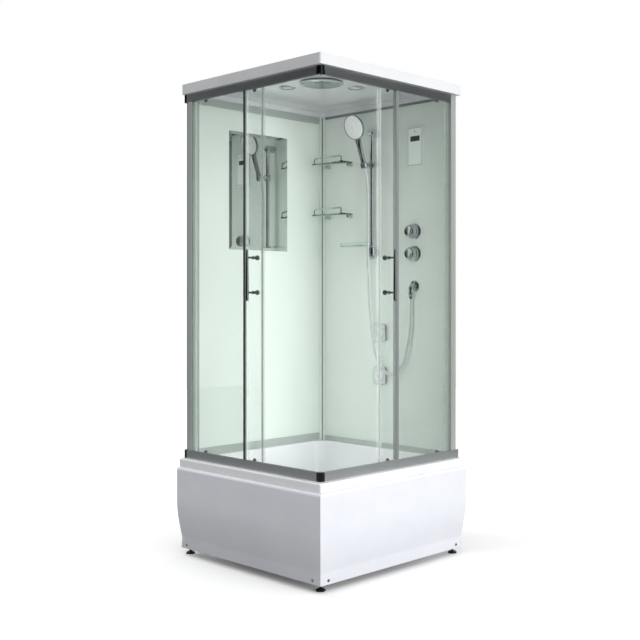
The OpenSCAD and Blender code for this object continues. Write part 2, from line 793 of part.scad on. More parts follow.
module door_glass() {
    difference() {
        translate([door_trail, -door_y - glass_t, door_z0]) cube([door_w, glass_t, door_z1 - door_z0]);
        for (x = [lead_x, trail_x], z = [low_bolt_z, top_bolt_z]) translate([x, 0, z])
            y_rod(5, -door_y - glass_t - 1, -door_y + 1);
        for (s = [-1, 1]) translate([handle_x, 0, handle_z + s * post_gap / 2])
            y_rod(6, -door_y - glass_t - 1, -door_y + 1);
    }
}

module front_door_glass() color("#cfe3da", 0.35) door_glass();

module side_door_glass() color("#cfe3da", 0.35) to_side() door_glass();

// Magnet seal with a face at 45 degrees on the leading edge, finned seal on the trailing edge
module door_seals() {
    t = 1.5;
    y0 = -door_y - glass_t;
    y1 = -door_y;
    leg = 10;
    tip = door_travel + seal_clear;
    z0 = low_rail_top + 1;
    h = top_rail_z - low_rail_top - 2;
    translate([0, 0, z0]) linear_extrude(h) difference() {
        polygon([[door_lead - leg, y0 - t], [door_lead - leg, y1 + t], [-(y1 + t) - tip, y1 + t],
            [-(y0 - t) - tip, y0 - t]]);
        translate([door_lead - leg - 1, y0]) square([leg + 1, glass_t]);
    }
    translate([0, 0, z0]) linear_extrude(h) {
        translate([door_trail - t, y0 - t]) square([t, glass_t + 2 * t]);
        translate([door_trail - t, y0 - t]) square([leg, t]);
        translate([door_trail - t, y1]) square([leg, t]);
        translate([door_trail - t, -fixed_y + 1.2 + 0.5]) square([t, fixed_y - door_y - glass_t - t - 1.2]);
    }
}

module front_door_seals() color("#e6ebe8", 0.6) door_seals();

module side_door_seals() color("#e6ebe8", 0.6) to_side() door_seals();

module handle() {
    y_glass = -door_y - glass_t;
    y_bar = y_glass - handle_out;
    y_end = -door_y + handle_in;
    translate([handle_x, y_bar, handle_z - bar_l / 2]) rotate_extrude() polygon([[0, 0], [bar_r - 1.5, 0],
        [bar_r, 1.5], [bar_tip_r, bar_l - 1.5], [bar_tip_r - 1.5, bar_l], [0, bar_l]]);
    for (s = [-1, 1]) translate([handle_x, 0, handle_z + s * post_gap / 2]) {
        y_rod(bar_tip_r - 0.8, y_bar, y_glass - 3);
        y_rod(8, y_glass - 4, y_glass);
        y_rod(4, y_glass, -door_y);
        y_rod(6, -door_y, y_end - 8);
        translate([0, y_end, 0]) rotate([90, 0, 0]) rotate_extrude()
            polygon([[0, 0], [9.5, 0], [11, 1.5], [11, 9], [10, 10], [0, 10]]);
    }
}

module front_handle() color("#c9ced2") handle();

module side_handle() color("#c9ced2") to_side() handle();

// One roller carrier: cap inside, neck through the glass, steel arm and axle outside
module carrier(x, bolt_z, axle_z) {
    glass_out = -door_y - glass_t;
    arm_out = glass_out - arm_t;
    track = -roller_y;
    translate([x, 0, bolt_z]) {
        y_rod(cap_r, -door_y, -door_y + 5);
        y_rod(4.8, glass_out - 0.5, -door_y + 1);
    }
    w = 12;
    z0 = min(bolt_z, axle_z);
    z1 = max(bolt_z, axle_z);
    translate([x - w / 2, arm_out, z0]) cube([w, arm_t, z1 - z0]);
    for (z = [bolt_z, axle_z]) translate([x, 0, z]) y_rod(w / 2, arm_out, glass_out);
    translate([x, 0, axle_z]) {
        y_rod(axle_r, track - roller_w / 2 - 0.8, arm_out + 0.5);
        y_rod(axle_r + 1.8, track - roller_w / 2 - 1.6, track - roller_w / 2 - 0.3);
        y_rod(axle_r + 1.8, track + roller_w / 2 + 0.3, arm_out + 0.5);
    }
}

module carriers() {
    for (x = [lead_x, trail_x]) {
        carrier(x, low_bolt_z, low_axle_z);
        carrier(x, top_bolt_z, top_axle_z);
    }
}

module front_carriers() color("#7f858a") carriers();

module side_carriers() color("#7f858a") to_side() carriers();

module roller(x, z) {
    w = roller_w / 2;
    g = groove_w / 2;
    ro = roller_r + flange_h;
    translate([x, -roller_y, z]) rotate([90, 0, 0]) rotate_extrude()
        polygon([[axle_r + run_gap, -w], [ro - 1, -w], [ro, -w + 1], [ro, -g - 0.8], [roller_r, -g],
            [roller_r, g], [ro, g + 0.8], [ro, w - 1], [ro - 1, w], [axle_r + run_gap, w]]);
}

module front_roller_top_lead() color("#3a3c3e") roller(lead_x, top_axle_z);
module front_roller_top_trail() color("#3a3c3e") roller(trail_x, top_axle_z);
module front_roller_low_lead() color("#3a3c3e") roller(lead_x, low_axle_z);
module front_roller_low_trail() color("#3a3c3e") roller(trail_x, low_axle_z);
module side_roller_top_lead() color("#3a3c3e") to_side() roller(lead_x, top_axle_z);
module side_roller_top_trail() color("#3a3c3e") to_side() roller(trail_x, top_axle_z);
module side_roller_low_lead() color("#3a3c3e") to_side() roller(lead_x, low_axle_z);
module side_roller_low_trail() color("#3a3c3e") to_side() roller(trail_x, low_axle_z);

module wall_mirror() color("#b9c4c6") {
    translate([-wall_face, -mirror_w / 2 - 5, mirror_z]) cube([mirror_t, mirror_w, mirror_h]);
}

module shelf_glasses() color("#cfe3da", 0.5) {
    for (z = [shelf_top_z, shelf_low_z]) translate([shelf_x() + 0, trim_face - 1 - shelf_d / 2, z])
        linear_extrude(shelf_t) rounded_rect(shelf_w, shelf_d, 10);
}

module shelf_rails() color("#c9ced2") {
    y_front = trim_face - 1 - shelf_d + 8;
    for (z = [shelf_top_z, shelf_low_z]) {
        zr = z + shelf_t + gallery_h;
        translate([shelf_x(), y_front, zr]) x_rod(4, -shelf_w / 2 + 16, shelf_w / 2 - 8);
        for (x = [-shelf_w / 2 + 16, shelf_w / 2 - 8]) translate([shelf_x() + x, y_front, z + shelf_t]) {
            cylinder(r = 4, h = gallery_h);
            translate([0, 0, gallery_h]) sphere(4);
            cylinder(r = 7, h = 3);
        }
    }
    for (p = shelf_bosses()) translate([p[0], 0, p[1]]) {
        y_rod(8, wall_face - 34, wall_face);
        y_rod(3.8, wall_face - 1, wall_face + wall_t + 4);
    }
}

module slide_bar() color("#c9ced2") {
    translate([slide_x, slide_y, slide_low_z + 20]) cylinder(r = slide_r, h = slide_top_z - slide_low_z - 22);
}

module bar_mounts() color("#c3c8cc") {
    translate([slide_x, 0, slide_top_z]) difference() {
        union() {
            translate([0, slide_y - 14, 0]) rotate([-90, 0, 0]) rotate_extrude() polygon([[0, 0],
                [mount_r - 3, 0], [mount_r, 3], [mount_r, slide_out + 14], [0, slide_out + 14]]);
            y_rod(3.8, wall_face - 1, wall_face + wall_t + 4);
        }
        translate([0, slide_y, -60]) cylinder(r = slide_r + 0.02, h = 58);
    }
    translate([slide_x, 0, slide_low_z]) difference() {
        union() {
            translate([0, slide_y, -12]) cylinder(r = 21, h = 44);
            translate([0, slide_y, -12]) sphere(21);
            y_rod(15, slide_y, wall_face);
            y_rod(3.8, wall_face - 1, wall_face + wall_t + 4);
        }
        translate([0, slide_y, 20]) cylinder(r = slide_r + 0.02, h = 58);
    }
}

cradle_axis = 27;

module slider() color("#c3c8cc") {
    translate([slide_x, slide_y, slider_z]) difference() {
        union() {
            translate([0, 0, -slider_h / 2]) cylinder(r = 16, h = slider_h);
            x_rod(8, 0, 20);
            for (s = [-1, 1]) {
                translate([s * 10 - 3, -cradle_axis, -9]) cube([6, cradle_axis - 8, 18]);
                translate([s * 10 - 3, -cradle_axis, 0]) x_rod(9, 0, 6);
            }
        }
        translate([0, 0, -slider_h / 2 - 1]) cylinder(r = slide_r + run_gap, h = slider_h + 2);
        x_rod(4 + run_gap, slide_r - 2, 30);
        translate([0, -cradle_axis, 0]) x_rod(4 + run_gap, -20, 20);
    }
}

module clamp_knob() color("#b9bec3") {
    translate([slide_x, slide_y, slider_z]) {
        x_rod(4, slide_r + 0.4, 24);
        translate([20.3, 0, 0]) rotate([0, 90, 0]) rotate_extrude() polygon([[0, 0], [9, 0], [12, 3], [12, 14],
            [10, 16], [0, 17]]);
        for (a = [0:45:359]) translate([28.3, 0, 0]) rotate([a, 0, 0]) translate([0, 11.2, 0]) x_rod(2.4, -3.8, 4.6);
    }
}

module lean() translate([slide_x, seat_y, seat_z]) rotate([handset_lean, 0, 0]) children();

module cradle() color("#c3c8cc") {
    difference() {
        union() {
            translate([slide_x, slide_y - cradle_axis, slider_z]) {
                x_rod(8, -6.7, 6.7);
                x_rod(4, -15, 15);
            }
            translate([slide_x - 6.7, seat_y + 10, slider_z - 7])
                cube([13.4, slide_y - cradle_axis - seat_y - 10, 14]);
            lean() translate([0, 0, -26]) cylinder(r = grip_r + 5, h = 25.7);
        }
        lean() {
            translate([0, 0, -27]) cylinder(r = grip_r + 0.8, h = 40);
            translate([-hose_r - 1, -40, -27]) cube([2 * hose_r + 2, 40, 40]);
        }
    }
}

module handset() color("#c9ced2") lean() difference() {
    union() {
        rotate_extrude() polygon([[0, -24], [grip_r - 2, -24], [grip_r - 0.5, -22], [grip_r - 0.5, 0], [grip_r + 3, 0],
            [grip_r + 3, 4], [grip_r, 10], [grip_r + 1, 50], [grip_r + 1.5, 90], [grip_r, head_up - 62],
            [grip_r - 2.5, head_up - 44], [0, head_up - 40]]);
        translate([0, 0, head_up]) rotate([90, 0, 0]) rotate_extrude() polygon([[0, -spray_t / 2 - 2],
            [spray_r - 26, -spray_t / 2], [spray_r - 8, -spray_t / 4], [spray_r, 2], [spray_r, spray_t / 2 - 2],
            [spray_r - 2, spray_t / 2], [0, spray_t / 2]]);
    }
    translate([0, -spray_t / 2 + 5, head_up]) rotate([90, 0, 0]) cylinder(r = spray_r - 5.7, h = 20);
    translate([0, 0, head_up]) rotate([90, 0, 0]) cylinder(r = 5 + run_gap, h = 20);
}

module spray_plate() color("#f2f4f3") lean() translate([0, 0, head_up]) rotate([90, 0, 0]) {
    rotate_extrude() polygon([[0, 0.5], [5, 0.5], [5, spray_t / 2 - 4.7], [spray_r - 7, spray_t / 2 - 4.7],
        [spray_r - 6, spray_t / 2 - 3.7], [spray_r - 6, spray_t / 2 + 0.5], [spray_r - 9, spray_t / 2 + 2],
        [0, spray_t / 2 + 3]]);
    translate([0, spray_r - 14, spray_t / 2 + 1]) cylinder(r = 4, h = 4);
}

// A tube swept along points: unit vectors, a frame carried from ring to ring, and one polyhedron
function unit(v) = v / norm(v);
function along(p, i) = unit(p[min(i + 1, len(p) - 1)] - p[max(i - 1, 0)]);
function carried(u, t) = unit(u - (u * t) * t);
function frames(p, i = 0, u = [0, 1, 0]) = i >= len(p) ? [] :
    let (n = carried(u, along(p, i))) concat([n], frames(p, i + 1, n));

// Catmull-Rom point between b and c
function blend_point(a, b, c, d, s) = 0.5 * (2 * b + (c - a) * s + (2 * a - 5 * b + 4 * c - d) * s * s
    + (3 * b - a - 3 * c + d) * s * s * s);
function smooth_path(p, n) = concat([for (i = [0:len(p) - 2], k = [0:n - 1])
    blend_point(p[max(i - 1, 0)], p[i], p[i + 1], p[min(i + 2, len(p) - 1)], k / n)], [p[len(p) - 1]]);

module swept_tube(p, r, sides) {
    n = len(p);
    u = frames(p);
    rings = [for (i = [0:n - 1], k = [0:sides - 1]) let (t = along(p, i), a = 360 * k / sides)
        p[i] + r * cos(a) * u[i] + r * sin(a) * cross(t, u[i])];
    walls = [for (i = [0:n - 2], k = [0:sides - 1]) let (a = i * sides + k, b = i * sides + (k + 1) % sides)
        [a, a + sides, b + sides, b]];
    polyhedron(rings, concat([[for (k = [0:sides - 1]) k]],
        walls, [[for (k = [sides - 1:-1:0]) (n - 1) * sides + k]]), convexity = 10);
}

module hose() color("#c8cdd1") swept_tube(smooth_path(hose_route, 2), hose_r, 10);

module elbow_outlet() color("#c9ced2") translate([valve_x, 0, elbow_z]) {
    translate([0, wall_face, 0]) rotate([90, 0, 0]) rotate_extrude() polygon([[0, 0], [elbow_r, 0], [elbow_r, 3],
        [elbow_r - 4, 6], [0, 6]]);
    y_rod(12, elbow_y, wall_face - 1);
    translate([0, elbow_y, 0]) sphere(12);
    translate([0, elbow_y, -36]) cylinder(r = 12, h = 36);
    translate([0, elbow_y, -59]) cylinder(r = 10.5, h = 24);
    y_rod(9, wall_face - 1, pipe_y);
}

module soap_dish() color("#e4efec", 0.5) {
    z = slide_low_z + 34;
    difference() {
        union() {
            translate([slide_x, slide_y, z]) cylinder(r = slide_r + 6, h = 18);
            translate([slide_x - 92, slide_y - 14, z]) linear_extrude(18) rounded_rect(160, 92, 24);
        }
        translate([slide_x - 94, slide_y - 14, z + 3]) linear_extrude(18) rounded_rect(150, 86, 21);
        translate([slide_x, slide_y, z - 1]) cylinder(r = slide_r + 0.02, h = 20);
        for (i = [-2:2]) translate([slide_x - 94 + i * 22, slide_y - 14, z - 1]) linear_extrude(6)
            rounded_rect(6, 50, 2.9);
    }
}

module control_panel() color("#dfe8e3") {
    translate([panel_x(), wall_face, panel_z + panel_h / 2]) rotate([90, 0, 0]) difference() {
        union() {
            linear_extrude(panel_t - 2) rounded_rect(panel_w, panel_h, 8);
            linear_extrude(panel_t) rounded_rect(panel_w - 4, panel_h - 4, 6);
        }
        translate([0, 35, panel_t - 2]) linear_extrude(3) rounded_rect(56, 30, 2);
    }
    translate([panel_x() - 25, wall_face - 1, panel_z + 46]) cube([50, 26, 98]);
}

module valve_body() color("#b99a55") {
    translate([valve_x, pipe_y, 0]) difference() {
        union() {
            translate([0, 0, diverter_z - 34]) cylinder(r = 17, h = mixer_z - diverter_z + 68);
            for (z = [mixer_z, diverter_z]) translate([0, 0, z]) {
                y_rod(16, wall_face - plate_t + 1 - pipe_y, 0);
            }
            translate([0, 0, diverter_z]) x_rod(13, -34, 0);
            translate([0, 0, mixer_z]) {
                x_rod(13, -47, 47);
                for (s = [-1, 1]) translate([s * 34, 0, 0]) {
                    y_rod(9.6, 0, 15.4);
                    y_rod(10.5, 14.4, inlet_end - pipe_y);
                }
            }
            translate([0, 0, diverter_z]) x_rod(11, -46, 0);
            translate([0, 0, diverter_z]) x_rod(11, 0, 46);
            translate([0, 0, diverter_z - 46]) cylinder(r = 11, h = 20);
        }
        for (z = [mixer_z, diverter_z]) translate([0, 0, z]) y_rod(spindle_r + run_gap, -60, -1.5);
        for (s = [-1, 1]) translate([s * 34, 0, mixer_z]) y_rod(7.5, 4, 60);
    }
}

module valve_plates() color("#c9ced2") {
    for (z = [mixer_z, diverter_z]) translate([valve_x, wall_face, z]) rotate([90, 0, 0]) difference() {
        rotate_extrude() polygon([[0, 0], [plate_r, 0], [plate_r, plate_t - 3], [plate_r - 3, plate_t], [0, plate_t]]);
        translate([0, 0, -1]) cylinder(r = 16.3, h = plate_t + 2);
    }
}

module valve_knob(z, ribs) {
    front = wall_face - plate_t - 0.6;
    translate([valve_x, front, z]) rotate([90, 0, 0]) {
        rotate_extrude() polygon([[0, 0], [knob_r - 5, 0], [knob_r, 4], [knob_r, 12], [knob_r - 4, 15],
            [knob_r - 4, knob_l - 5], [knob_r - 7, knob_l - 1], [0, knob_l]]);
        for (i = [0:ribs - 1]) rotate([0, 0, i * 360 / ribs]) translate([knob_r - 4, 0, 14])
            cylinder(r = 2, h = knob_l - 20);
    }
    translate([valve_x, 0, z]) y_rod(spindle_r, front - 1, pipe_y - 2);
}

module mixer_knob() color("#c9ced2") valve_knob(mixer_z, 24);

module diverter_knob() color("#c9ced2") valve_knob(diverter_z, 12);

module jet_frames() color("#c3c8cc") {
    back = wall_face + 20;
    for (z = [jet_top_z, jet_low_z]) translate([jet_x, 0, z]) difference() {
        union() {
            translate([0, wall_face, 0]) rotate([90, 0, 0]) {
                linear_extrude(jet_t - 3) rounded_rect(jet_w, jet_w, 12);
                linear_extrude(jet_t) rounded_rect(jet_w - 6, jet_w - 6, 9);
            }
            y_rod(ball_r + 4, wall_face - 1, back);
            y_rod(8, back - 1, pipe_y);
        }
        y_rod(ball_r + 0.4, wall_face - jet_t - 1, back - 4);
        translate([0, wall_face - jet_t / 2, 0]) x_rod(3 + run_gap, -ball_r - 8, ball_r + 8);
    }
}

module jet_ball(z) {
    translate([jet_x, wall_face - jet_t / 2, z]) {
        intersection() {
            sphere(ball_r);
            translate([-ball_r, -10, -ball_r]) cube([2 * ball_r, 20, 2 * ball_r]);
        }
        x_rod(3, -ball_r - 7.5, ball_r + 7.5);
    }
}

module jet_upper() color("#f2f4f3") jet_ball(jet_top_z);

module jet_lower() color("#f2f4f3") jet_ball(jet_low_z);

// Straight pipe between two points
module pipe(a, b) {
    d = b - a;
    translate(a) rotate([0, acos(d[2] / norm(d)), atan2(d[1], d[0])]) cylinder(r = pipe_r, h = norm(d));
    translate(b) sphere(pipe_r + 1.5);
}

module pipe_run(p) for (i = [0:len(p) - 2]) pipe(p[i], p[i + 1]);

module supply_pipes() color("#c08457") {
    y = pipe_y;
    jet_feed = jet_x - 60;
    translate([valve_x, y, elbow_z]) cylinder(r = pipe_r, h = diverter_z - 46 - elbow_z);
    pipe_run([[valve_x - 46, y, diverter_z], [jet_feed, y, diverter_z], [jet_feed, y, jet_low_z],
        [jet_x, y, jet_low_z]]);
    pipe([jet_feed, y, jet_top_z], [jet_x, y, jet_top_z]);
    pipe_run([[valve_x + 46, y, diverter_z], [rise_x(), y, diverter_z], [rise_x(), y, feed_z],
        [rise_x(), roof_half - 40, feed_z], [head_off, -head_off, feed_z]]);
}

base_frame();
levelling_feet();
tray();
waste_trap();
waste_cover();
front_apron();
side_apron();
apron_screws();
front_bottom_rail();
side_bottom_rail();
front_top_rail();
side_top_rail();
rail_connectors();
wall_posts();
wall_trims();
left_wall();
back_wall();
roof();
rain_head();
ceiling_lamps();
fixed_glasses();
fixed_glass_seals();
front_door_glass();
front_door_seals();
front_handle();
front_carriers();
side_door_glass();
side_door_seals();
side_handle();
side_carriers();
front_roller_top_lead();
front_roller_top_trail();
front_roller_low_lead();
front_roller_low_trail();
side_roller_top_lead();
side_roller_top_trail();
side_roller_low_lead();
side_roller_low_trail();
wall_mirror();
shelf_glasses();
shelf_rails();
slide_bar();
bar_mounts();
slider();
clamp_knob();
cradle();
handset();
spray_plate();
hose();
elbow_outlet();
soap_dish();
control_panel();
valve_body();
valve_plates();
mixer_knob();
diverter_knob();
jet_frames();
jet_upper();
jet_lower();
supply_pipes();
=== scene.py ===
# Square corner-entry shower cabin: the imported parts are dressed, and the visible fittings modelled anew
import json
import math
import bpy
import bmesh
from mathutils import Matrix, Vector


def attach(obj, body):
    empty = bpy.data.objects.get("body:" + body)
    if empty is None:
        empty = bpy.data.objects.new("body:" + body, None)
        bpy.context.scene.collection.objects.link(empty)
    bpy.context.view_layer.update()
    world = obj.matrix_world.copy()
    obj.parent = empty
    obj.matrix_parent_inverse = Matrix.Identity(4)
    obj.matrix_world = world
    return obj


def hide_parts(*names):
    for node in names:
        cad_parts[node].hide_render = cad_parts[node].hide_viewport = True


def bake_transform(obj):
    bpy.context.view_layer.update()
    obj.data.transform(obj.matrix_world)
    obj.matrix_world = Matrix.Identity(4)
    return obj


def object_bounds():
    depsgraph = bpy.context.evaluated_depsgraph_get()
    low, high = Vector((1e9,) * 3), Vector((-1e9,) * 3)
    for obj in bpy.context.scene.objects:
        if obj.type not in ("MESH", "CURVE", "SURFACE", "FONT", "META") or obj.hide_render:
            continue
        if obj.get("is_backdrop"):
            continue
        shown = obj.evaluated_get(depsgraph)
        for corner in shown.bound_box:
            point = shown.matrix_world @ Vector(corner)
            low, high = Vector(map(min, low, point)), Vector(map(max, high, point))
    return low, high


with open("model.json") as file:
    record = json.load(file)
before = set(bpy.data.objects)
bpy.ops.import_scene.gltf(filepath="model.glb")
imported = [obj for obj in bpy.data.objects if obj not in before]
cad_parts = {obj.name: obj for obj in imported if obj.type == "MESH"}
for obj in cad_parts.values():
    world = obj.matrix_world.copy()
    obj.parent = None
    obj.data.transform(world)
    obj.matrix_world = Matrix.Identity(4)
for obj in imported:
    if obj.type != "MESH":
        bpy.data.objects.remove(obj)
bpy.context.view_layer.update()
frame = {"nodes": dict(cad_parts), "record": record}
scene = bpy.context.scene
scene.view_settings.view_transform = "Standard"
print("frame loaded")

# Camera, fitted to the edges of the cabin in the photograph
photoCamera = {
    "azimuth": 44.57,
    "place": (3.3179, -3.2737, 1.1814),
    "lens": 57.024,
    "shift": (-0.02492, -0.03755),
}
cameraData = bpy.data.cameras.new("photoCamera")
cameraData.lens = photoCamera["lens"]
cameraData.sensor_width = 36
cameraData.shift_x, cameraData.shift_y = photoCamera["shift"]
cameraData.clip_start = 0.05
camera = bpy.data.objects.new("photoCamera", cameraData)
camera.location = photoCamera["place"]
camera.rotation_euler = (math.radians(90), 0, math.radians(photoCamera["azimuth"]))
scene.collection.objects.link(camera)
scene.camera = camera


# Linear values of a colour that is written as sRGB hex
def linear(hexColour):
    values = [int(hexColour[i:i + 2], 16) / 255 for i in (1, 3, 5)]
    return [v / 12.92 if v <= 0.04045 else ((v + 0.055) / 1.055) ** 2.4 for v in values] + [1.0]


# Adds a node: a socket among the values is linked, a hex colour made linear, anything else set as it is
def addNode(tree, kind, values=None, **properties):
    node = tree.nodes.new("ShaderNode" + kind)
    for name, value in properties.items():
        setattr(node, name, value)
    for name, value in (values or {}).items():
        if isinstance(value, bpy.types.NodeSocket):
            tree.links.new(value, node.inputs[name])
        else:
            node.inputs[name].default_value = linear(value) if isinstance(value, str) else value
    return node


def maths(tree, operation, *terms, **properties):
    return addNode(tree, "Math", dict(enumerate(terms)), operation=operation, **properties).outputs[0]


def vectors(tree, operation, *terms):
    node = addNode(tree, "VectorMath", dict(enumerate(terms)), operation=operation)
    return node.outputs[1 if operation in ("LENGTH", "DOT_PRODUCT") else 0]


def mixColours(tree, share, first, second):
    return addNode(tree, "Mix", {0: share, 6: first, 7: second}, data_type="RGBA").outputs[2]


def mapped(tree, value, *ends):
    names = ("From Min", "From Max", "To Min", "To Max")
    return addNode(tree, "MapRange", {"Value": value, **dict(zip(names, ends))}).outputs[0]


def objectPlace(tree):
    return addNode(tree, "TexCoord").outputs["Object"]


def axesOf(tree, vector):
    return addNode(tree, "SeparateXYZ", {0: vector}).outputs


# Whether a ray comes from the camera, straight or through glass, and whether a shiny face has thrown it back
def raysOf(tree):
    path = addNode(tree, "LightPath").outputs
    direct = maths(tree, "MAXIMUM", path["Is Camera Ray"], path["Is Transmission Ray"])
    return direct, maths(tree, "GREATER_THAN", path["Glossy Depth"], 0.5), path


def partsOf(material):
    return material.node_tree, material.node_tree.nodes["Principled BSDF"]


def startMaterial(name, **sockets):
    material = bpy.data.materials.new(name)
    material.use_nodes = True
    tree, shader = partsOf(material)
    for socket, value in sockets.items():
        shader.inputs[socket.replace("_", " ")].default_value = value
    return material, tree, shader


# A pattern in millimetres: noise whose cells are as wide as the three sizes say
def grainNoise(tree, size, detail=2.0):
    scaled = addNode(tree, "Mapping", {"Vector": objectPlace(tree), "Scale": [1000 / s for s in size]})
    return addNode(tree, "TexNoise", {"Vector": scaled.outputs[0], "Scale": 1.0, "Detail": detail}).outputs[0]


# Lets a noise run from one tone to the other, or from one value to the other
def tint(tree, shader, noise, colour, shade):
    share = mapped(tree, noise, 0.3, 0.7, 0, 1)
    tree.links.new(mixColours(tree, share, colour, shade), shader.inputs["Base Color"])


def vary(tree, shader, noise, low, high, socket="Roughness"):
    tree.links.new(mapped(tree, noise, 0.3, 0.7, low, high), shader.inputs[socket])


def addBump(tree, shader, height, strength, distance):
    bump = addNode(tree, "Bump", {"Height": height, "Strength": strength, "Distance": distance})
    tree.links.new(bump.outputs[0], shader.inputs["Normal"])


# Lays another colour over a material's own where the share is 1
def overlay(tree, shader, share, colour):
    own = shader.inputs["Base Color"].links[0].from_socket
    tree.links.new(mixColours(tree, share, own, colour), shader.inputs["Base Color"])


# A material of one noise: it sets the tones, the roughness and, with a strength and a depth, the bump
def grained(name, size, colour, shade, rough, detail=2.0, relief=None, **sockets):
    material, tree, shader = startMaterial(name, **sockets)
    noise = grainNoise(tree, size, detail)
    tint(tree, shader, noise, colour, shade)
    vary(tree, shader, noise, *rough)
    if relief:
        addBump(tree, shader, noise, *relief)
    return material


# Light: a studio that is brighter to the right, white where it is seen directly or through the glass; bright
# metal sees black cards between white ones in two rows, each stop an angle round the cabin and a grey
studio = {"level": 0.7, "least": 0.03, "slope": (0.47, 0.245, 0.2), "tint": "#FFFFFF",
          "upperCards": ((-180, 0.7), (-154, 0.6), (-147, 0.01), (-16, 0.01), (-12, 1.7), (22, 1.7), (27, 0.02),
                         (64, 0.02), (70, 0.6), (180, 0.6)),
          "lowerCards": ((-180, 0.6), (-150, 0.28), (-128, 0.24), (-112, 0.15), (-84, 0.01), (-16, 0.01), (-12, 1.7),
                         (22, 1.7), (27, 0.02), (64, 0.02), (70, 0.6), (180, 0.6)),
          "upperFrom": (0.11, 0.17), "lidFrom": (0.55, 0.8),
          "floorSize": 14, "floorWhite": "#FFFFFF", "floorShade": "#9EA09F", "floorFar": (0.02, 0.02, 0.02, 1),
          "farFrom": (2.6, 4.2), "glowNear": 0.07, "glowFar": 0.3}
world = bpy.data.worlds.new("studio")
scene.world = world
world.use_nodes = True
tree = world.node_tree
tree.nodes.clear()
around = addNode(tree, "TexCoord").outputs["Generated"]
level = maths(tree, "ADD", vectors(tree, "DOT_PRODUCT", around, studio["slope"]), studio["level"])
level = maths(tree, "MAXIMUM", level, studio["least"])
softLight = addNode(tree, "Background", {"Color": studio["tint"], "Strength": level})
whiteWall = addNode(tree, "Background", {"Color": "#FFFFFF"})
across, along, upward = axesOf(tree, around)
part = mapped(tree, maths(tree, "ARCTAN2", along, across), -math.pi, math.pi)
rows = []
for row in ("lowerCards", "upperCards"):
    cards = addNode(tree, "ValToRGB", {"Fac": part})
    stops = cards.color_ramp.elements
    for i, (angle, grey) in enumerate(studio[row]):
        spot = (angle + 180) / 360
        stop = stops[i] if i < 2 else stops.new(spot)
        stop.position, stop.color = spot, (grey, grey, grey, 1)
    rows.append(cards.outputs[0])
stacked = mixColours(tree, mapped(tree, upward, *studio["upperFrom"]), *rows)
overhead = mixColours(tree, mapped(tree, upward, *studio["lidFrom"]), stacked, "#FFFFFF")
cardLight = addNode(tree, "Background", {"Color": overhead})
direct, bounced, path = raysOf(tree)
shown = addNode(tree, "MixShader", {0: bounced, 1: whiteWall.outputs[0], 2: cardLight.outputs[0]})
gloss = maths(tree, "MAXIMUM", direct, path["Is Glossy Ray"])
both = addNode(tree, "MixShader", {0: gloss, 1: softLight.outputs[0], 2: shown.outputs[0]})
addNode(tree, "OutputWorld", {"Surface": both.outputs[0]})

# Softboxes, left out of the reflections: one overhead, one far to the right, one that fills the cabin
softboxes = {
    "overheadStrip": {"place": (-2.6, -0.8, 3.9), "aim": (0.0, -0.45, 0.4), "size": (0.5, 2.6), "power": 64},
    "rightBox": {"place": (8.0, 1.2, 1.5), "aim": (0.45, 0.0, 1.3), "size": (4.0, 2.0), "power": 285},
    "cabinFill": {"place": (0.36, -0.36, 1.2), "aim": (0.05, 0.05, 1.2), "size": (0.3, 1.4), "power": 3.1},
}
for name, box in softboxes.items():
    lampData = bpy.data.lights.new(name, "AREA")
    lampData.shape = "RECTANGLE"
    lampData.size, lampData.size_y = box["size"]
    lampData.energy = box["power"]
    lamp = bpy.data.objects.new(name, lampData)
    lamp.location = box["place"]
    lamp.rotation_euler = (Vector(box["aim"]) - lamp.location).to_track_quat("-Z", "Y").to_euler()
    scene.collection.objects.link(lamp)
    lamp.visible_camera = lamp.visible_transmission = lamp.visible_glossy = False

# Plain pale floor: white where the camera sees it, a mid grey for the light that it throws back
bpy.ops.object.select_all(action="DESELECT")
bpy.ops.mesh.primitive_plane_add(size=studio["floorSize"], location=(0, 0, 0))
floor = bpy.context.object
floor.name = "studioFloor"
floorPaint, tree, shader = startMaterial("matteFloorPaint", Roughness=0.9, Specular_IOR_Level=0.1,
                                         Emission_Color=(1, 1, 1, 1))
direct, bounced, path = raysOf(tree)
seen = maths(tree, "SUBTRACT", direct, bounced, use_clamp=True)
away = mapped(tree, vectors(tree, "LENGTH", objectPlace(tree)), *studio["farFrom"])
shade = mixColours(tree, maths(tree, "MULTIPLY", away, bounced), studio["floorShade"], studio["floorFar"])
tree.links.new(mixColours(tree, seen, shade, studio["floorWhite"]), shader.inputs["Base Color"])
glow = maths(tree, "MULTIPLY_ADD", away, studio["glowFar"], studio["glowNear"])
tree.links.new(maths(tree, "MULTIPLY", seen, glow), shader.inputs["Emission Strength"])
floor.data.materials.append(floorPaint)
floor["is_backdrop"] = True
print("camera and light set")


# Materials, each named for the real one and how it is made
# Sanitary acrylic, vacuum-formed over a mould: deep gloss, faint long waves, very fine orange peel
def formedAcrylic(name, colour, shade):
    material, tree, shader = startMaterial(name, Coat_Weight=0.35, Coat_Roughness=0.06, IOR=1.49)
    waves = grainNoise(tree, (160, 160, 120))
    tint(tree, shader, waves, colour, shade)
    vary(tree, shader, grainNoise(tree, (2.5, 2.5, 2.5)), 0.11, 0.18)
    addBump(tree, shader, waves, 0.25, 0.0012)
    return material


# Aluminium, extruded along one axis and satin anodised: fine die lines run along the bar
def anodisedAluminium(name, lineSize, colour, shade, rough=(0.27, 0.38), metal=1.0):
    return grained(name, lineSize, colour, shade, rough, 3.0, (0.12, 0.00008), Metallic=metal)


# Bright metal: brass or ABS with a polished chromium plate, faint water marks in the shine
def polishedMetal(name, colour, shade, rough=(0.03, 0.09), spot=14):
    return grained(name, (spot, spot, spot), colour, shade, rough, 4.0, Metallic=1.0)


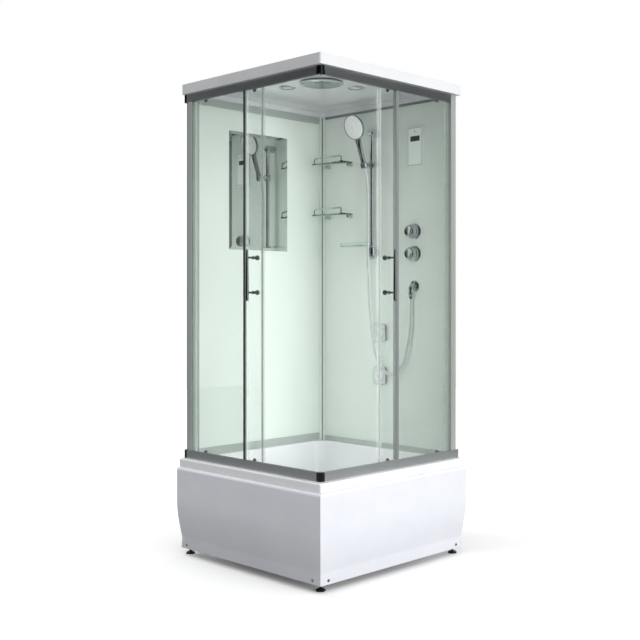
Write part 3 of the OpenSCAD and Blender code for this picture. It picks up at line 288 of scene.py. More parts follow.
# Moulded plastic: a little gloss, the fine grain of the mould
def mouldedPlastic(name, colour, shade, rough=(0.3, 0.42), grain=0.8, depth=0.00006, **more):
    return grained(name, (grain, grain, grain), colour, shade, rough, relief=(0.3, depth), **more)


# Clear toughened float glass: faintly green, greener through its edges; lamps shine through it
def clearSheet(name, colour, depthTint, density, ior=1.5, rough=0.0):
    material, tree, shader = startMaterial(name, IOR=ior, Transmission_Weight=1.0)
    shader.inputs["Base Color"].default_value = linear(colour)
    vary(tree, shader, grainNoise(tree, (220, 220, 300)), rough, rough + 0.012)
    path = addNode(tree, "LightPath").outputs
    through = maths(tree, "MAXIMUM", path["Is Shadow Ray"], path["Is Diffuse Ray"])
    letThrough = addNode(tree, "BsdfTransparent", {"Color": "#FCFEFD"})
    mix = addNode(tree, "MixShader", {0: through, 1: shader.outputs[0], 2: letThrough.outputs[0]})
    absorb = addNode(tree, "VolumeAbsorption", {"Color": depthTint, "Density": density})
    output = tree.nodes["Material Output"]
    tree.links.new(mix.outputs[0], output.inputs["Surface"])
    tree.links.new(absorb.outputs[0], output.inputs["Volume"])
    return material


# Wall panel: glass painted on its back, so a deep gloss lies over an even pale green
def backPaintedGlass(name, colour, shade):
    material, tree, shader = startMaterial(name, Coat_Weight=1.0, Coat_Roughness=0.02, Coat_IOR=1.5,
                                           Specular_IOR_Level=0.2)
    tint(tree, shader, grainNoise(tree, (300, 300, 500)), colour, shade)
    vary(tree, shader, grainNoise(tree, (1.2, 1.2, 1.2)), 0.42, 0.55)
    return material


finish = {
    "acrylic": formedAcrylic("castSanitaryAcrylic", "#F3F4F6", "#EFF1F3"),
    # Painted light: the aprons' white acrylic carries a blue tint standing in for the cool light on its shaded face
    "apron_acrylic": formedAcrylic("vacuumFormedAcrylicBlueShadeTint", "#ECEDF4", "#E8E9F1"),
    "galvanised_steel": mouldedPlastic("powderCoatedSteel", "#5C6166", "#666B70", (0.4, 0.55), 1.5, 0.0001),
    "black_plastic": mouldedPlastic("mouldedBlackPolypropylene", "#1C1D1E", "#26282A", (0.38, 0.5)),
    "grey_plastic": mouldedPlastic("mouldedGreyPolypropylene", "#C4C6C8", "#B9BCBE", (0.35, 0.5)),
    "gloss_black": mouldedPlastic("glossBlackAbs", "#0B0C0D", "#121315", (0.08, 0.14), 3, 0.00003),
    "clear_glass": clearSheet("clearToughenedGlass", "#FFFFFF", "#BFE6D2", 7.0),
    "mint_panel": backPaintedGlass("backPaintedMintGlass", "#EAF1EB", "#E5EDE7"),
    "chrome": polishedMetal("polishedChromePlate", "#D4D7DA", "#CACED1"),
    "stainless": polishedMetal("brushedStainlessSteel", "#B4B6B8", "#A3A6A8", (0.22, 0.34), 1.5),
    "nylon": mouldedPlastic("mouldedBlackNylon", "#3A3C3E", "#45474A", (0.4, 0.52)),
    "mirror": polishedMetal("silveredMirrorGlass", "#F0F4F2", "#EAF0ED", (0.0, 0.015), 120),
    "white_plastic": mouldedPlastic("glossWhiteAbs", "#F1F3F3", "#EBEEEE", (0.14, 0.22), 2),
    "brass": polishedMetal("castBrass", "#B99A55", "#A6853F", (0.3, 0.5), 2.5),
    "copper_pipe": polishedMetal("drawnCopperPipe", "#C08457", "#A86B40", (0.22, 0.4), 18),
    "lamp_cover": mouldedPlastic("opalPolycarbonate", "#F6F7F3", "#F1F3EE", (0.4, 0.5), 2, Transmission_Weight=0.15),
    "silver_hose": mouldedPlastic("metallisedVinylHose", "#EEF0F1", "#E2E5E7", (0.16, 0.26), 3, Metallic=0.45),
    "clear_plastic": clearSheet("clearMouldedAcrylic", "#FAFEFD", "#CFE9E2", 5.0, 1.49, 0.02),
    "clear_seal": mouldedPlastic("extrudedMilkyVinyl", "#F1F5F3", "#E8EDEB", (0.2, 0.3), 2, Alpha=0.16, IOR=1.45),
}
siliconeGrey = mouldedPlastic("mouldedGreySilicone", "#8E9896", "#9AA3A1", (0.45, 0.6), 0.6)


def dress(material, *names):
    for name in names:
        for holder in frame["nodes"][name].material_slots:
            holder.material = material


for part in frame["record"]["subparts"]:
    if part["material_slot"] in finish:
        dress(finish[part["material_slot"]], part["node"])
# Painted shade: the roof gets a darker copy of the white acrylic, offsetting the softbox's light on its fascia
dress(formedAcrylic("pressedRoofAcrylicPaintedShade", "#E4E5E7", "#DFE1E3"), "roof")
# Painted light and shade: one anodised stock, the front rails along X painted darker for their shaded face and the side
# rails along Y painted lighter for their lit face
for name, size, colour, shade, metal, node in (
        ("anodisedRailAlongX", (90, 0.7, 0.7), "#AFB2B5", "#BCBFC2", 1.0, "front_top_rail"),
        ("anodisedRailAlongY", (0.7, 90, 0.7), "#CDD1D3", "#D7DADC", 1.0, "side_top_rail"),
        ("anodisedLowRailAlongX", (90, 0.7, 0.7), "#B6B9BC", "#C1C4C7", 0.92, "front_bottom_rail"),
        ("anodisedLowRailAlongY", (0.7, 90, 0.7), "#D0D3D5", "#D9DBDD", 0.85, "side_bottom_rail")):
    dress(anodisedAluminium(name, size, colour, shade, metal=metal), node)


def below(tree, socket, limit):
    return maths(tree, "LESS_THAN", socket, limit)


# Posts: satin anodised, with painted shade as a dark strip along the left front post's outer joint; the one in the back
# corner is enamelled in the walls' green round a sealing line. These places are in metres from the cabin's middle, as
# those of trims and seals are.
posts = {"corner": (-0.425, 0.425, 0), "reach": 0.032, "line": 0.0035, "outerEdge": -0.4295, "metal": 0.55}
postMetal = anodisedAluminium("anodisedPostAlongZ", (0.7, 0.7, 90), "#CCD1CD", "#D6DBD7", (0.3, 0.42), posts["metal"])
tree, shader = partsOf(postMetal)
spot = objectPlace(tree)
fromCorner = vectors(tree, "SUBTRACT", vectors(tree, "MULTIPLY", spot, (1, 1, 0)), posts["corner"])
far = maths(tree, "MAXIMUM", *axesOf(tree, vectors(tree, "ABSOLUTE", fromCorner))[:2])
near, sealed = [below(tree, far, posts[limit]) for limit in ("reach", "line")]
across, along, upward = axesOf(tree, spot)
# Painted shade: the outer joint of the left front post is painted dark
paintedJointShade = maths(tree, "MULTIPLY", below(tree, across, posts["outerEdge"]), below(tree, along, 0.0))
overlay(tree, shader, paintedJointShade, "#5F6663")
overlay(tree, shader, near, mixColours(tree, sealed, "#E4ECE6", "#7F8784"))
bare = maths(tree, "MULTIPLY_ADD", near, -posts["metal"], posts["metal"])
tree.links.new(bare, shader.inputs["Metallic"])
dress(postMetal, "wall_posts")
# The wall trims are one anodised stock with painted shadow: the back wall's upper trims are painted a dull dark grey
# for the rail's shadow, the left wall's and the low trims keep a lighter satin grey
trims = {"leftWall": -0.415, "lowTrims": 1.0, "metal": 0.8, "unshadedMetal": 0.35}
trimMetal = anodisedAluminium("anodisedWallTrimPaintedShadow", (60, 60, 0.7), "#8F9396", "#9BA0A3", (0.3, 0.4), trims["metal"])
tree, shader = partsOf(trimMetal)
across, along, upward = axesOf(tree, objectPlace(tree))
# Painted shadow: only the trims outside the rail's shadow get the lighter tone
unshadedTrims = maths(tree, "MAXIMUM", below(tree, across, trims["leftWall"]), below(tree, upward, trims["lowTrims"]))
overlay(tree, shader, unshadedTrims, "#C3C9C6")
metal = maths(tree, "MULTIPLY_ADD", unshadedTrims, trims["unshadedMetal"] - trims["metal"], trims["metal"])
tree.links.new(metal, shader.inputs["Metallic"])
dress(trimMetal, "wall_trims")
# The fixed panes' seals are two vinyls extruded as one: a dark lip outside on the front, a milky one inside
seals = {"lipEnd": -0.0305, "outside": -0.4268, "frontEnd": 0.2, "milky": 0.22, "alpha": 0.55, "darker": 0.6}
sealVinyl = mouldedPlastic("extrudedTwoToneVinyl", "#9AA19E", "#8C9391", (0.25, 0.35), 2, Alpha=seals["alpha"],
                           IOR=1.45)
tree, shader = partsOf(sealVinyl)
across, along, upward = axesOf(tree, objectPlace(tree))
front = below(tree, across, seals["frontEnd"])
dark = maths(tree, "MULTIPLY", below(tree, across, seals["lipEnd"]), below(tree, along, seals["outside"]))
overlay(tree, shader, front, "#DDE3E0")
overlay(tree, shader, dark, "#3C423F")
clearer = maths(tree, "MULTIPLY_ADD", front, seals["milky"] - seals["alpha"], seals["alpha"])
tree.links.new(maths(tree, "MULTIPLY_ADD", dark, seals["darker"], clearer), shader.inputs["Alpha"])
dress(sealVinyl, "fixed_glass_seals")
print("packed parts dressed")

# Millimetres, and the back wall's face in them
mm = 0.001
backWall = 430

# Hose: the route of the source, in millimetres from the cabin's middle, wall distance before height
hose = {
    "radius": 7.0, "ribDepth": 0.45, "ribPitch": 3.2, "sides": 14,
    "lean": 20, "seat": (-42, 328, 1826), "below": (24.06, 38.06, 54.06),
    "hang": [(-42, 76, 1738), (-42, 72, 1660), (-41, 72, 1560), (-41, 73, 1450), (-38, 74, 1330),
             (-32, 74, 1210), (-23, 73, 1090), (-9, 71, 980), (10, 68, 890), (40, 63, 834), (72, 57, 808),
             (102, 51, 806), (130, 45, 826), (155, 39, 870), (174, 34, 930), (185, 29, 1000), (190, 27, 1070)],
    "end": (190, 403, 1168), "lead": (36, 16, 0),
}


# A smooth line through the points, as the source draws it
def smoothLine(points, steps):
    line = []
    for i in range(len(points) - 1):
        a, b, c, d = (points[max(i - 1, 0)], points[i], points[i + 1], points[min(i + 2, len(points) - 1)])
        for k in range(steps):
            s = k / steps
            line.append(0.5 * (2 * b + (c - a) * s + (2 * a - 5 * b + 4 * c - d) * s * s
                               + (3 * b - a - 3 * c + d) * s ** 3))
    return line + [points[-1]]


# Points at an even spacing along a line
def evenly(line, gap):
    total = sum((b - a).length for a, b in zip(line, line[1:]))
    count = max(2, round(total / gap))
    result, walked, wanted = [line[0].copy()], 0.0, total / count
    for a, b in zip(line, line[1:]):
        step = (b - a).length
        while len(result) < count and walked + step >= wanted * len(result):
            result.append(a.lerp(b, (wanted * len(result) - walked) / step))
        walked += step
    return result + [line[-1].copy()]


# A tube of rings along a line; radiusOf gives each ring's radius
def ringTube(name, line, radiusOf, sides):
    rows, faces = [], []
    side = Vector((0, 1, 0))
    for i, point in enumerate(line):
        along = (line[min(i + 1, len(line) - 1)] - line[max(i - 1, 0)]).normalized()
        side = (side - along * side.dot(along)).normalized()
        other = along.cross(side)
        for k in range(sides):
            turn = 2 * math.pi * k / sides
            rows.append(point + radiusOf(i) * (math.cos(turn) * side + math.sin(turn) * other))
    for i in range(len(line) - 1):
        for k in range(sides):
            a, b = i * sides + k, i * sides + (k + 1) % sides
            faces.append((a, b, b + sides, a + sides))
    last = (len(line) - 1) * sides
    faces += [tuple(range(sides))[::-1], tuple(range(last, last + sides))]
    mesh = bpy.data.meshes.new(name)
    mesh.from_pydata([tuple(row) for row in rows], [], faces)
    mesh.polygons.foreach_set("use_smooth", [True] * len(mesh.polygons))
    piece = bpy.data.objects.new(name, mesh)
    scene.collection.objects.link(piece)
    return piece


down = Vector((0, math.sin(math.radians(hose["lean"])), -math.cos(math.radians(hose["lean"]))))
route = [(Vector(hose["seat"]) + d * down) for d in hose["below"]]
route += [Vector((x, backWall - w, z)) for x, w, z in hose["hang"]]
route += [Vector(hose["end"]) - Vector((0, 0, d)) for d in hose["lead"]]
routeLine = [p * mm for p in smoothLine(route, 12)]
hoseTube = ringTube("ribbedHose", evenly(routeLine, hose["ribPitch"] / 2 * mm),
                    lambda i: mm * (hose["radius"] - (hose["ribDepth"] if i % 2 else 0)), hose["sides"])
hoseTube.data.materials.append(finish["silver_hose"])
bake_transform(hoseTube)
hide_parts("hose")
[tuple(p) for p in evenly(routeLine, 0.01)]


# Modelling helpers: all sizes in millimetres, worked as by hand in edit mode
def clearSelection():
    if bpy.context.object and bpy.context.object.mode != "OBJECT":
        bpy.ops.object.mode_set(mode="OBJECT")
    bpy.ops.object.select_all(action="DESELECT")


def beginWith(kind, name, **settings):
    clearSelection()
    getattr(bpy.ops.mesh, "primitive_" + kind + "_add")(**settings)
    piece = bpy.context.object
    piece.name = piece.data.name = name
    bpy.ops.object.mode_set(mode="EDIT")
    bpy.ops.mesh.select_mode(type="VERT")
    bpy.ops.mesh.select_all(action="SELECT")
    return piece


# A block from its lowest to its highest corner
def beginBlock(name, low, high):
    piece = beginWith("cube", name, size=1)
    bpy.ops.transform.resize(value=[(b - a) * mm for a, b in zip(low, high)], center_override=(0, 0, 0))
    bpy.ops.transform.translate(value=[(a + b) / 2 * mm for a, b in zip(low, high)])
    return piece


def makeActive(piece):
    clearSelection()
    bpy.context.view_layer.objects.active = piece
    piece.select_set(True)


def pick(piece, kind, test):
    bpy.ops.mesh.select_mode(type=kind)
    bpy.ops.mesh.select_all(action="DESELECT")
    mesh = bmesh.from_edit_mesh(piece.data)
    for item in {"FACE": mesh.faces, "EDGE": mesh.edges, "VERT": mesh.verts}[kind]:
        if test(item):
            item.select_set(True)
    mesh.select_flush_mode()
    bmesh.update_edit_mesh(piece.data)


# Middle of a corner, edge or face, in millimetres
def middle(item):
    if isinstance(item, bmesh.types.BMVert):
        return item.co / mm
    return sum((v.co for v in item.verts), Vector()) / len(item.verts) / mm


def runsAlong(edge, axis):
    way = (edge.verts[1].co - edge.verts[0].co).normalized()
    return abs(way[axis]) > 0.99


def grow(width, height=0.0, depth=0.0, centre=(0, 0, 0)):
    bpy.ops.transform.resize(value=(width, height or width, depth or 1.0), center_override=[c * mm for c in centre])


def pull(dx, dy, dz):
    bpy.ops.mesh.extrude_region_move(TRANSFORM_OT_translate={"value": (dx * mm, dy * mm, dz * mm)})


def endEdit(smooth=35, inside=False):
    bpy.ops.mesh.select_mode(type="VERT")
    bpy.ops.mesh.select_all(action="SELECT")
    bpy.ops.mesh.remove_doubles(threshold=1e-6)
    bpy.ops.mesh.normals_make_consistent(inside=inside)
    bpy.ops.object.mode_set(mode="OBJECT")
    bpy.ops.object.shade_smooth_by_angle(angle=math.radians(smooth))


# Rounds the edges that run along one axis
def roundAlong(piece, axis, width, steps):
    pick(piece, "EDGE", lambda e: runsAlong(e, axis))
    bpy.ops.mesh.bevel(offset=width * mm, segments=steps)


# Rounds the border of the faces that pass the test
def roundBorder(piece, test, width, steps):
    pick(piece, "FACE", test)
    bpy.ops.mesh.region_to_loop()
    bpy.ops.mesh.bevel(offset=width * mm, segments=steps)


# Rolls the picked open edge of a square over a radius, outwards or inwards
def rollOver(wide, start, radius, way, centre):
    now, high = wide, start
    for angle in (22.5, 45, 67.5, 90):
        out = way * radius * (1 - math.cos(math.radians(angle)))
        up = start + radius * math.sin(math.radians(angle))
        pull(0, 0, up - high)
        grow((wide + 2 * out) / now, centre=centre)
        now, high = wide + 2 * out, up


# A wire drawn corner by corner from one point
def drawWire(name, points):
    piece = beginWith("plane", name, size=0.01)
    bpy.ops.mesh.merge(type="CENTER")
    bpy.ops.mesh.select_all(action="SELECT")
    bpy.ops.transform.translate(value=[c * mm for c in points[0]])
    for a, b in zip(points, points[1:]):
        bpy.ops.mesh.extrude_vertices_move(TRANSFORM_OT_translate={"value": [(q - p) * mm for p, q in zip(a, b)]})
    bpy.ops.mesh.select_all(action="SELECT")
    return piece


def arc(centre, radius, start, end, steps):
    return [(centre[0] + radius * math.cos(math.radians(start + (end - start) * i / steps)),
             centre[1] + radius * math.sin(math.radians(start + (end - start) * i / steps))) for i in range(steps + 1)]


# The two ways in which upright work is laid down: pointing out of the back wall, or along it
outOfWall = (90, 0, 0)
sideways = (0, 90, 0)


def place(piece, spot, turn=(0, 0, 0)):
    makeActive(piece)
    piece.rotation_euler = [math.radians(a) for a in turn]
    piece.location = [c * mm for c in spot]
    bpy.ops.object.transform_apply(location=True, rotation=True, scale=True)
    return piece


# Turned work: an outline of radius and height, spun round Z, then laid in its place where one is given
def turned(name, outline, steps=48, spot=None, turn=(0, 0, 0)):
    piece = drawWire(name, [(r, 0, h) for r, h in outline])
    bpy.ops.mesh.spin(steps=steps, angle=2 * math.pi, center=(0, 0, 0), axis=(0, 0, 1))
    endEdit(32)
    return place(piece, spot, turn) if spot else piece


def modify(piece, kind, **settings):
    makeActive(piece)
    change = piece.modifiers.new("change", kind)
    for name, value in settings.items():
        setattr(change, name, value)
    bpy.ops.object.modifier_apply(modifier="change")
    return smoothed(piece)


def smoothed(piece, angle=32):
    makeActive(piece)
    bpy.ops.object.shade_smooth_by_angle(angle=math.radians(angle))
    return piece


# A cylinder to cut with or to add
def rodFor(radius, depth, steps, spot, turn=(0, 0, 0)):
    rod = beginWith("cylinder", "rod", radius=radius * mm, depth=depth * mm, vertices=steps)
    return place(rod, spot, turn)


def cut(piece, tool, how="DIFFERENCE"):
    modify(piece, "BOOLEAN", object=tool, operation=how)
    bpy.data.objects.remove(tool)


def joined(name, pieces):
    makeActive(pieces[0])
    for other in pieces[1:]:
        other.select_set(True)
    bpy.ops.object.join()
    pieces[0].name = pieces[0].data.name = name
    return pieces[0]


def copied(piece, matrix):
    copy = piece.copy()
    copy.data = piece.data.copy()
    copy.data.transform(matrix)
    scene.collection.objects.link(copy)
    return copy


# The same small shape at many places, each with its own mesh
def repeated(name, pattern, places):
    made = [copied(pattern, spot) for spot in places]
    bpy.data.objects.remove(pattern)
    return joined(name, made)


# Places round a circle at one height, all facing the same way, or each turned outwards
def placesRound(radius, count, height=0.0):
    return [Matrix.Translation(Vector((radius * math.cos(2 * math.pi * i / count),
                                       radius * math.sin(2 * math.pi * i / count), height)) * mm) for i in range(count)]


def turnsRound(radius, count):
    return [Matrix.Rotation(2 * math.pi * i / count, 4, "Z") @ Matrix.Translation((radius * mm, 0, 0))
            for i in range(count)]


# The side glazing is the front glazing mirrored across the cabin's diagonal
acrossDiagonal = Matrix(((0, -1, 0, 0), (-1, 0, 0, 0), (0, 0, 1, 0), (0, 0, 0, 1)))


def mirrored(piece, name):
    copy = copied(piece, acrossDiagonal)
    copy.name = copy.data.name = name
    copy.data.flip_normals()
    return copy


# A bent rod through the points, its bends rounded
def bentRod(name, points, radius, bend, sides=8):
    path = []
    for i, point in enumerate(points):
        here = Vector(point)
        if 0 < i < len(points) - 1:
            back = (Vector(points[i - 1]) - here).normalized() * bend
            ahead = (Vector(points[i + 1]) - here).normalized() * bend
            path += [here + back * (1 - s) ** 2 + ahead * s * s for s in (0, 0.2, 0.4, 0.6, 0.8, 1)]
        else:
            path.append(here)
    curve = bpy.data.curves.new(name, "CURVE")
    curve.dimensions = "3D"
    line = curve.splines.new("POLY")
    line.points.add(len(path) - 1)
    for target, point in zip(line.points, path):
        target.co = (*(point * mm), 1)
    curve.bevel_depth = radius * mm
    curve.bevel_resolution = sides
    curve.use_fill_caps = True
    rod = bpy.data.objects.new(name, curve)
    scene.collection.objects.link(rod)
    makeActive(rod)
    bpy.ops.object.convert(target="MESH")
    return smoothed(bpy.context.object, 40)


def fit(piece, body, slot, *nodes, material=None):
    if not piece.data.materials:
        piece.data.materials.append(material or finish[slot])
    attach(piece, body)
    if nodes:
        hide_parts(*nodes)
    return piece


# Tray: a deep tub with leaning walls under a rolled rim and a straight lip
tray = {"lip": (-455, 468), "rim": 438, "lipHeight": 36, "tub": (-405, 388), "floor": 116, "draft": 42,
        "corner": 80, "floorRound": 40, "rimRound": 9, "lipRound": 6, "lipCorner": 8, "sheet": 4, "waste": 39}
tubMiddle = sum(tray["tub"]) / 2


# The tub or the lip: a square block with open faces, leaning walls, round corners and a rolled upper edge
def trayShell(name, ends, foot, openFaces, draft, corner, steps, roll, way, floorRound=0):
    low, high = ends
    centre = ((low + high) / 2, -(low + high) / 2, 0)
    top = tray["rim"] - roll
    shell = beginBlock(name, (low, -high, foot), (high, -low, top))
    pick(shell, "FACE", openFaces)
    bpy.ops.mesh.delete(type="ONLY_FACE")
    if draft:
        pick(shell, "FACE", lambda f: f.normal.z < -0.5)
        grow(1 - 2 * draft / (high - low), centre=centre)
    pick(shell, "EDGE", lambda e: abs(e.verts[0].co.z - e.verts[1].co.z) > 0.01)
    bpy.ops.mesh.bevel(offset=corner * mm, segments=steps)
    if floorRound:
        roundBorder(shell, lambda f: f.normal.z < -0.9, floorRound, 6)
    pick(shell, "EDGE", lambda e: abs(middle(e).z - top) < 0.1)
    rollOver(high - low, top, roll, way, centre)
    endEdit(inside=way > 0)
    return shell


tub = trayShell("castTray", tray["tub"], tray["floor"], lambda f: f.normal.z > 0.5, tray["draft"], tray["corner"], 10,
                tray["rimRound"], 1, tray["floorRound"])
lip = trayShell("trayLip", tray["lip"], tray["rim"] - tray["lipHeight"], lambda f: abs(f.normal.z) > 0.5, 0,
                tray["lipCorner"], 5, tray["lipRound"], -1)
castTray = joined("castTray", [tub, lip])
bpy.ops.object.mode_set(mode="EDIT")
pick(castTray, "EDGE", lambda e: abs(middle(e).z - tray["rim"]) < 0.05 and e.is_boundary)
bpy.ops.mesh.fill()
bpy.ops.mesh.select_all(action="SELECT")
bpy.ops.mesh.remove_doubles(threshold=1e-6)
bpy.ops.mesh.normals_make_consistent(inside=False)
pick(castTray, "FACE", lambda f: abs(middle(f).z - tray["rim"]) < 0.05)
upward = bmesh.from_edit_mesh(castTray.data)
if sum(f.normal.z for f in upward.faces if f.select) < 0:
    bpy.ops.mesh.select_all(action="SELECT")
    bpy.ops.mesh.flip_normals()
smoothed(castTray, 40)
modify(castTray, "SOLIDIFY", thickness=tray["sheet"] * mm, offset=-1)
cut(castTray, rodFor(tray["waste"], 50, 48, (tubMiddle, -tubMiddle, tray["floor"])))
fit(castTray, "cabin", "acrylic", "tray")
print("tray", len(castTray.data.polygons))

# Aprons: vacuum-formed panels that swell from a flat foot, with a round shoulder under the lip
apron = {"back": 450, "foot": 457, "low": 28, "footTop": 75, "swell": 30, "rise": 185, "top": 401.7, "shoulder": 15,
         "flat": (300, 340), "farEnd": -452, "endRound": 9, "sheet": 4, "mitreGap": 0.4, "lowRound": 3}
out = apron["foot"] + apron["swell"]
profile = [(apron["back"], apron["low"])] + arc((apron["foot"] - apron["lowRound"], apron["low"] + apron["lowRound"]),
                                               apron["lowRound"], -90, 0, 3)
profile += [(apron["foot"], apron["footTop"] - 2)]
profile += [(apron["foot"] + apron["swell"] * math.sin(math.pi / 2 * i / 20), apron["footTop"] + apron["rise"] * i / 20)
            for i in range(1, 21)]
profile += [(out, z) for z in apron["flat"]]
profile += arc((out - apron["shoulder"], apron["top"] - apron["shoulder"]), apron["shoulder"], 0, 90, 9)
profile += [(apron["back"], apron["top"])]
frontApron = drawWire("frontApronPanel", [(apron["farEnd"], -y, z) for y, z in profile])
pull(out + 20 - apron["farEnd"], 0, 0)
bpy.ops.mesh.select_all(action="SELECT")
gap = apron["mitreGap"] * mm
bpy.ops.mesh.bisect(plane_co=(-gap, -gap, 0), plane_no=(1, 1, 0), clear_outer=True)
pick(frontApron, "EDGE", lambda e: abs(middle(e).x - apron["farEnd"]) < 0.1 and e.is_boundary)
bpy.ops.mesh.edge_face_add()
pick(frontApron, "EDGE", lambda e: abs(middle(e).x - apron["farEnd"]) < 0.1 and not e.is_boundary
     and middle(e).z > apron["low"] + 4)
bpy.ops.mesh.bevel(offset=apron["endRound"] * mm, segments=4)
endEdit(30)
frontApron.data.update()
if sum(p.normal.y * p.area for p in frontApron.data.polygons) > 0:
    frontApron.data.flip_normals()
modify(frontApron, "SOLIDIFY", thickness=apron["sheet"] * mm, offset=-1)
frontApron.data.materials.append(finish["apron_acrylic"])
sideApron = mirrored(frontApron, "sideApronPanel")
fit(frontApron, "cabin", "apron_acrylic", "front_apron")
fit(sideApron, "cabin", "apron_acrylic", "side_apron")
print("aprons", len(frontApron.data.polygons))

# Rain head: a flat chromed disc under the ceiling with rings of soft nozzles
rainHead = {"middle": (150, -150), "under": 2106, "stem": 10.5, "stemTop": 2139.7,
            "rings": ((14, 6), (26, 12), (38, 18), (50, 24), (62, 30), (74, 36))}
u = rainHead["under"]
disc = turned("rainHeadDisc", [
    (0, u), (79, u), (82, u + 0.4), (84, u + 1.4), (90, u + 2.4), (94, u + 5), (95, u + 7), (94, u + 8.6),
    (87, u + 12), (60, u + 14), (rainHead["stem"] + 2, u + 14), (rainHead["stem"], u + 16),
    (rainHead["stem"], rainHead["stemTop"]), (0, rainHead["stemTop"])], 72, (*rainHead["middle"], 0))
fit(disc, "cabin", "chrome", "rain_head")
nub = turned("nub", [(0.5, -1.6), (1.5, -1.6), (2.1, -0.6), (2.3, 0.4)], 8)
spots = [spot for r, n in rainHead["rings"] for spot in placesRound(r, n, u)]
rainNozzles = repeated("rainHeadNozzles", nub, spots)
fit(place(rainNozzles, (*rainHead["middle"], 0)), "cabin", "grey_plastic", material=siliconeGrey)

# Mirror: silvered glass with a bevelled border
mirror = {"low": (-430, -190, 1404), "high": (-426, 180, 1970), "border": 15, "fall": 1.6}
glass = beginBlock("bevelledMirror", mirror["low"], (mirror["high"][0] - mirror["fall"], *mirror["high"][1:]))
pick(glass, "FACE", lambda f: f.normal.x > 0.5)
bpy.ops.mesh.inset(thickness=mirror["border"] * mm)
bpy.ops.transform.translate(value=(mirror["fall"] * mm, 0, 0))
endEdit(3)
fit(glass, "cabin", "mirror", "wall_mirror")

# Corner shelves: two glass plates with polished edges, each with a chromed gallery rail and two bosses
shelf = {"low": (-415.5, 335, 1850), "high": (-200.5, 424, 1856), "corner": 10, "polish": 1.3, "drop": 260,
         "railY": 343, "railX": (-399.5, -208.5), "railTop": 1882, "railRadius": 4, "bend": 10,
         "bossX": (-376, -220), "bossZ": 1842, "bossY": (396, 430), "boss": 8, "wall": 439}
plate = beginBlock("shelfGlass", shelf["low"], shelf["high"])
roundAlong(plate, 2, shelf["corner"], 6)
roundBorder(plate, lambda f: abs(f.normal.z) > 0.9, shelf["polish"], 2)
endEdit(50)
lowPlate = copied(plate, Matrix.Translation((0, 0, -shelf["drop"] * mm)))
fit(joined("shelfPlates", [plate, lowPlate]), "cabin", "clear_glass", "shelf_glasses")
parts = []
for drop in (0, shelf["drop"]):
    foot, top = shelf["high"][2] - drop, shelf["railTop"] - drop
    left, right = shelf["railX"]
    parts.append(bentRod("galleryRail", [
        (left, shelf["railY"], foot), (left, shelf["railY"], top), (right, shelf["railY"], top),
        (right, shelf["railY"], foot)], shelf["railRadius"], shelf["bend"], 4))
    for x in shelf["railX"]:
        parts.append(turned("collar", [
            (0, 0), (7, 0), (7, 1.4), (6, 2.6), (4.4, 3.2), (4, 5)], 24, (x, shelf["railY"], foot)))
    for x in shelf["bossX"]:
        length = shelf["bossY"][1] - shelf["bossY"][0]
        boss = turned("boss", [
            (3.8, -shelf["wall"] + shelf["bossY"][1]), (3.8, 0), (shelf["boss"], 0), (shelf["boss"], length - 6),
            (7.4, length - 3), (5.6, length - 0.8), (0, length)], 28, (x, shelf["bossY"][1], shelf["bossZ"] - drop),
            outOfWall)
        parts.append(boss)
fit(joined("galleryRails", parts), "cabin", "chrome", "shelf_rails")
print("shelves and mirror")

# Hand shower: a chromed body whose handle widens into the back of the head
handset = {"seat": (-42, 328, 1826), "lean": 20, "headUp": 180, "tab": (-11.6, 228),
           "handle": ((-24, 9.6, 9.6, 0), (-22.6, 11.3, 11.3, 0), (-0.6, 11.5, 11.5, 0), (0, 14.6, 14.6, 0),
                      (1, 15, 15, 0), (3.4, 15, 15, 0), (5, 14.2, 14.2, 0), (9, 12.1, 12.1, 0), (30, 12.2, 12.2, 0),
                      (60, 12.9, 12.4, 0), (85, 13.8, 12.4, 0), (104, 15.6, 11.8, 0.4), (118, 19, 10.8, 1),
                      (130, 25, 9.4, 1.8), (141, 33, 7.6, 2.6), (152, 40, 5.6, 3))}
rings = handset["handle"]
body = beginWith("circle", "handsetBody", radius=mm, vertices=36)
bpy.ops.transform.translate(value=(0, 0, rings[0][0] * mm))
grow(rings[0][1], rings[0][2])
for a, b in zip(rings, rings[1:]):
    pull(0, b[3] - a[3], b[0] - a[0])
    grow(b[1] / a[1], b[2] / a[2], centre=(0, b[3], 0))
pick(body, "EDGE", lambda e: e.is_boundary)
bpy.ops.mesh.fill_holes(sides=0)
endEdit(40)
head = turned("handsetHead", [
    (0, -13), (20, -12.7), (34, -11.4), (46, -8.4), (54, -4.8), (59, -1.2), (61.6, 2.4), (62, 4.6), (62, 8.4),
    (61.2, 10), (59.6, 10.9), (57.6, 11), (56.5, 10.2), (56.3, 9), (56.3, 6), (0, 6)], 72,
    (0, 0, handset["headUp"]), outOfWall)
body = joined("handsetBody", [body, head])
tilt = (handset["lean"], 0, 0)
fit(place(body, handset["seat"], tilt), "hand_shower", "chrome", "handset",
    material=polishedMetal("polishedNickelPlate", "#B4B8BA", "#A9ADAF", (0.04, 0.1), 12))
face = turned("sprayFace", [
    (0, 6.4), (54.8, 6.4), (56, 7.6), (56, 11), (55.2, 11.9), (53, 12.5), (44, 13.1), (30, 13.6), (22, 13.6),
    (20.6, 12.9), (19.4, 13.6), (0, 14)], 72, (0, 0, handset["headUp"]), outOfWall)
tab = turned("selectorTab", [(0, 0), (4, 0), (4, 3.4), (3.2, 4.6), (0, 5)], 20, (0, *handset["tab"]), outOfWall)
fit(place(joined("sprayFace", [face, tab]), handset["seat"], tilt), "spray_face", "white_plastic", "spray_plate",
    material=mouldedPlastic("polishedWhiteAbs", "#FFFFFF", "#FCFDFD", (0.2, 0.3), 2))
nub = turned("nub", [(2.0, -0.6), (1.7, 0.9), (1.1, 1.4), (0.5, 1.4)], 8)
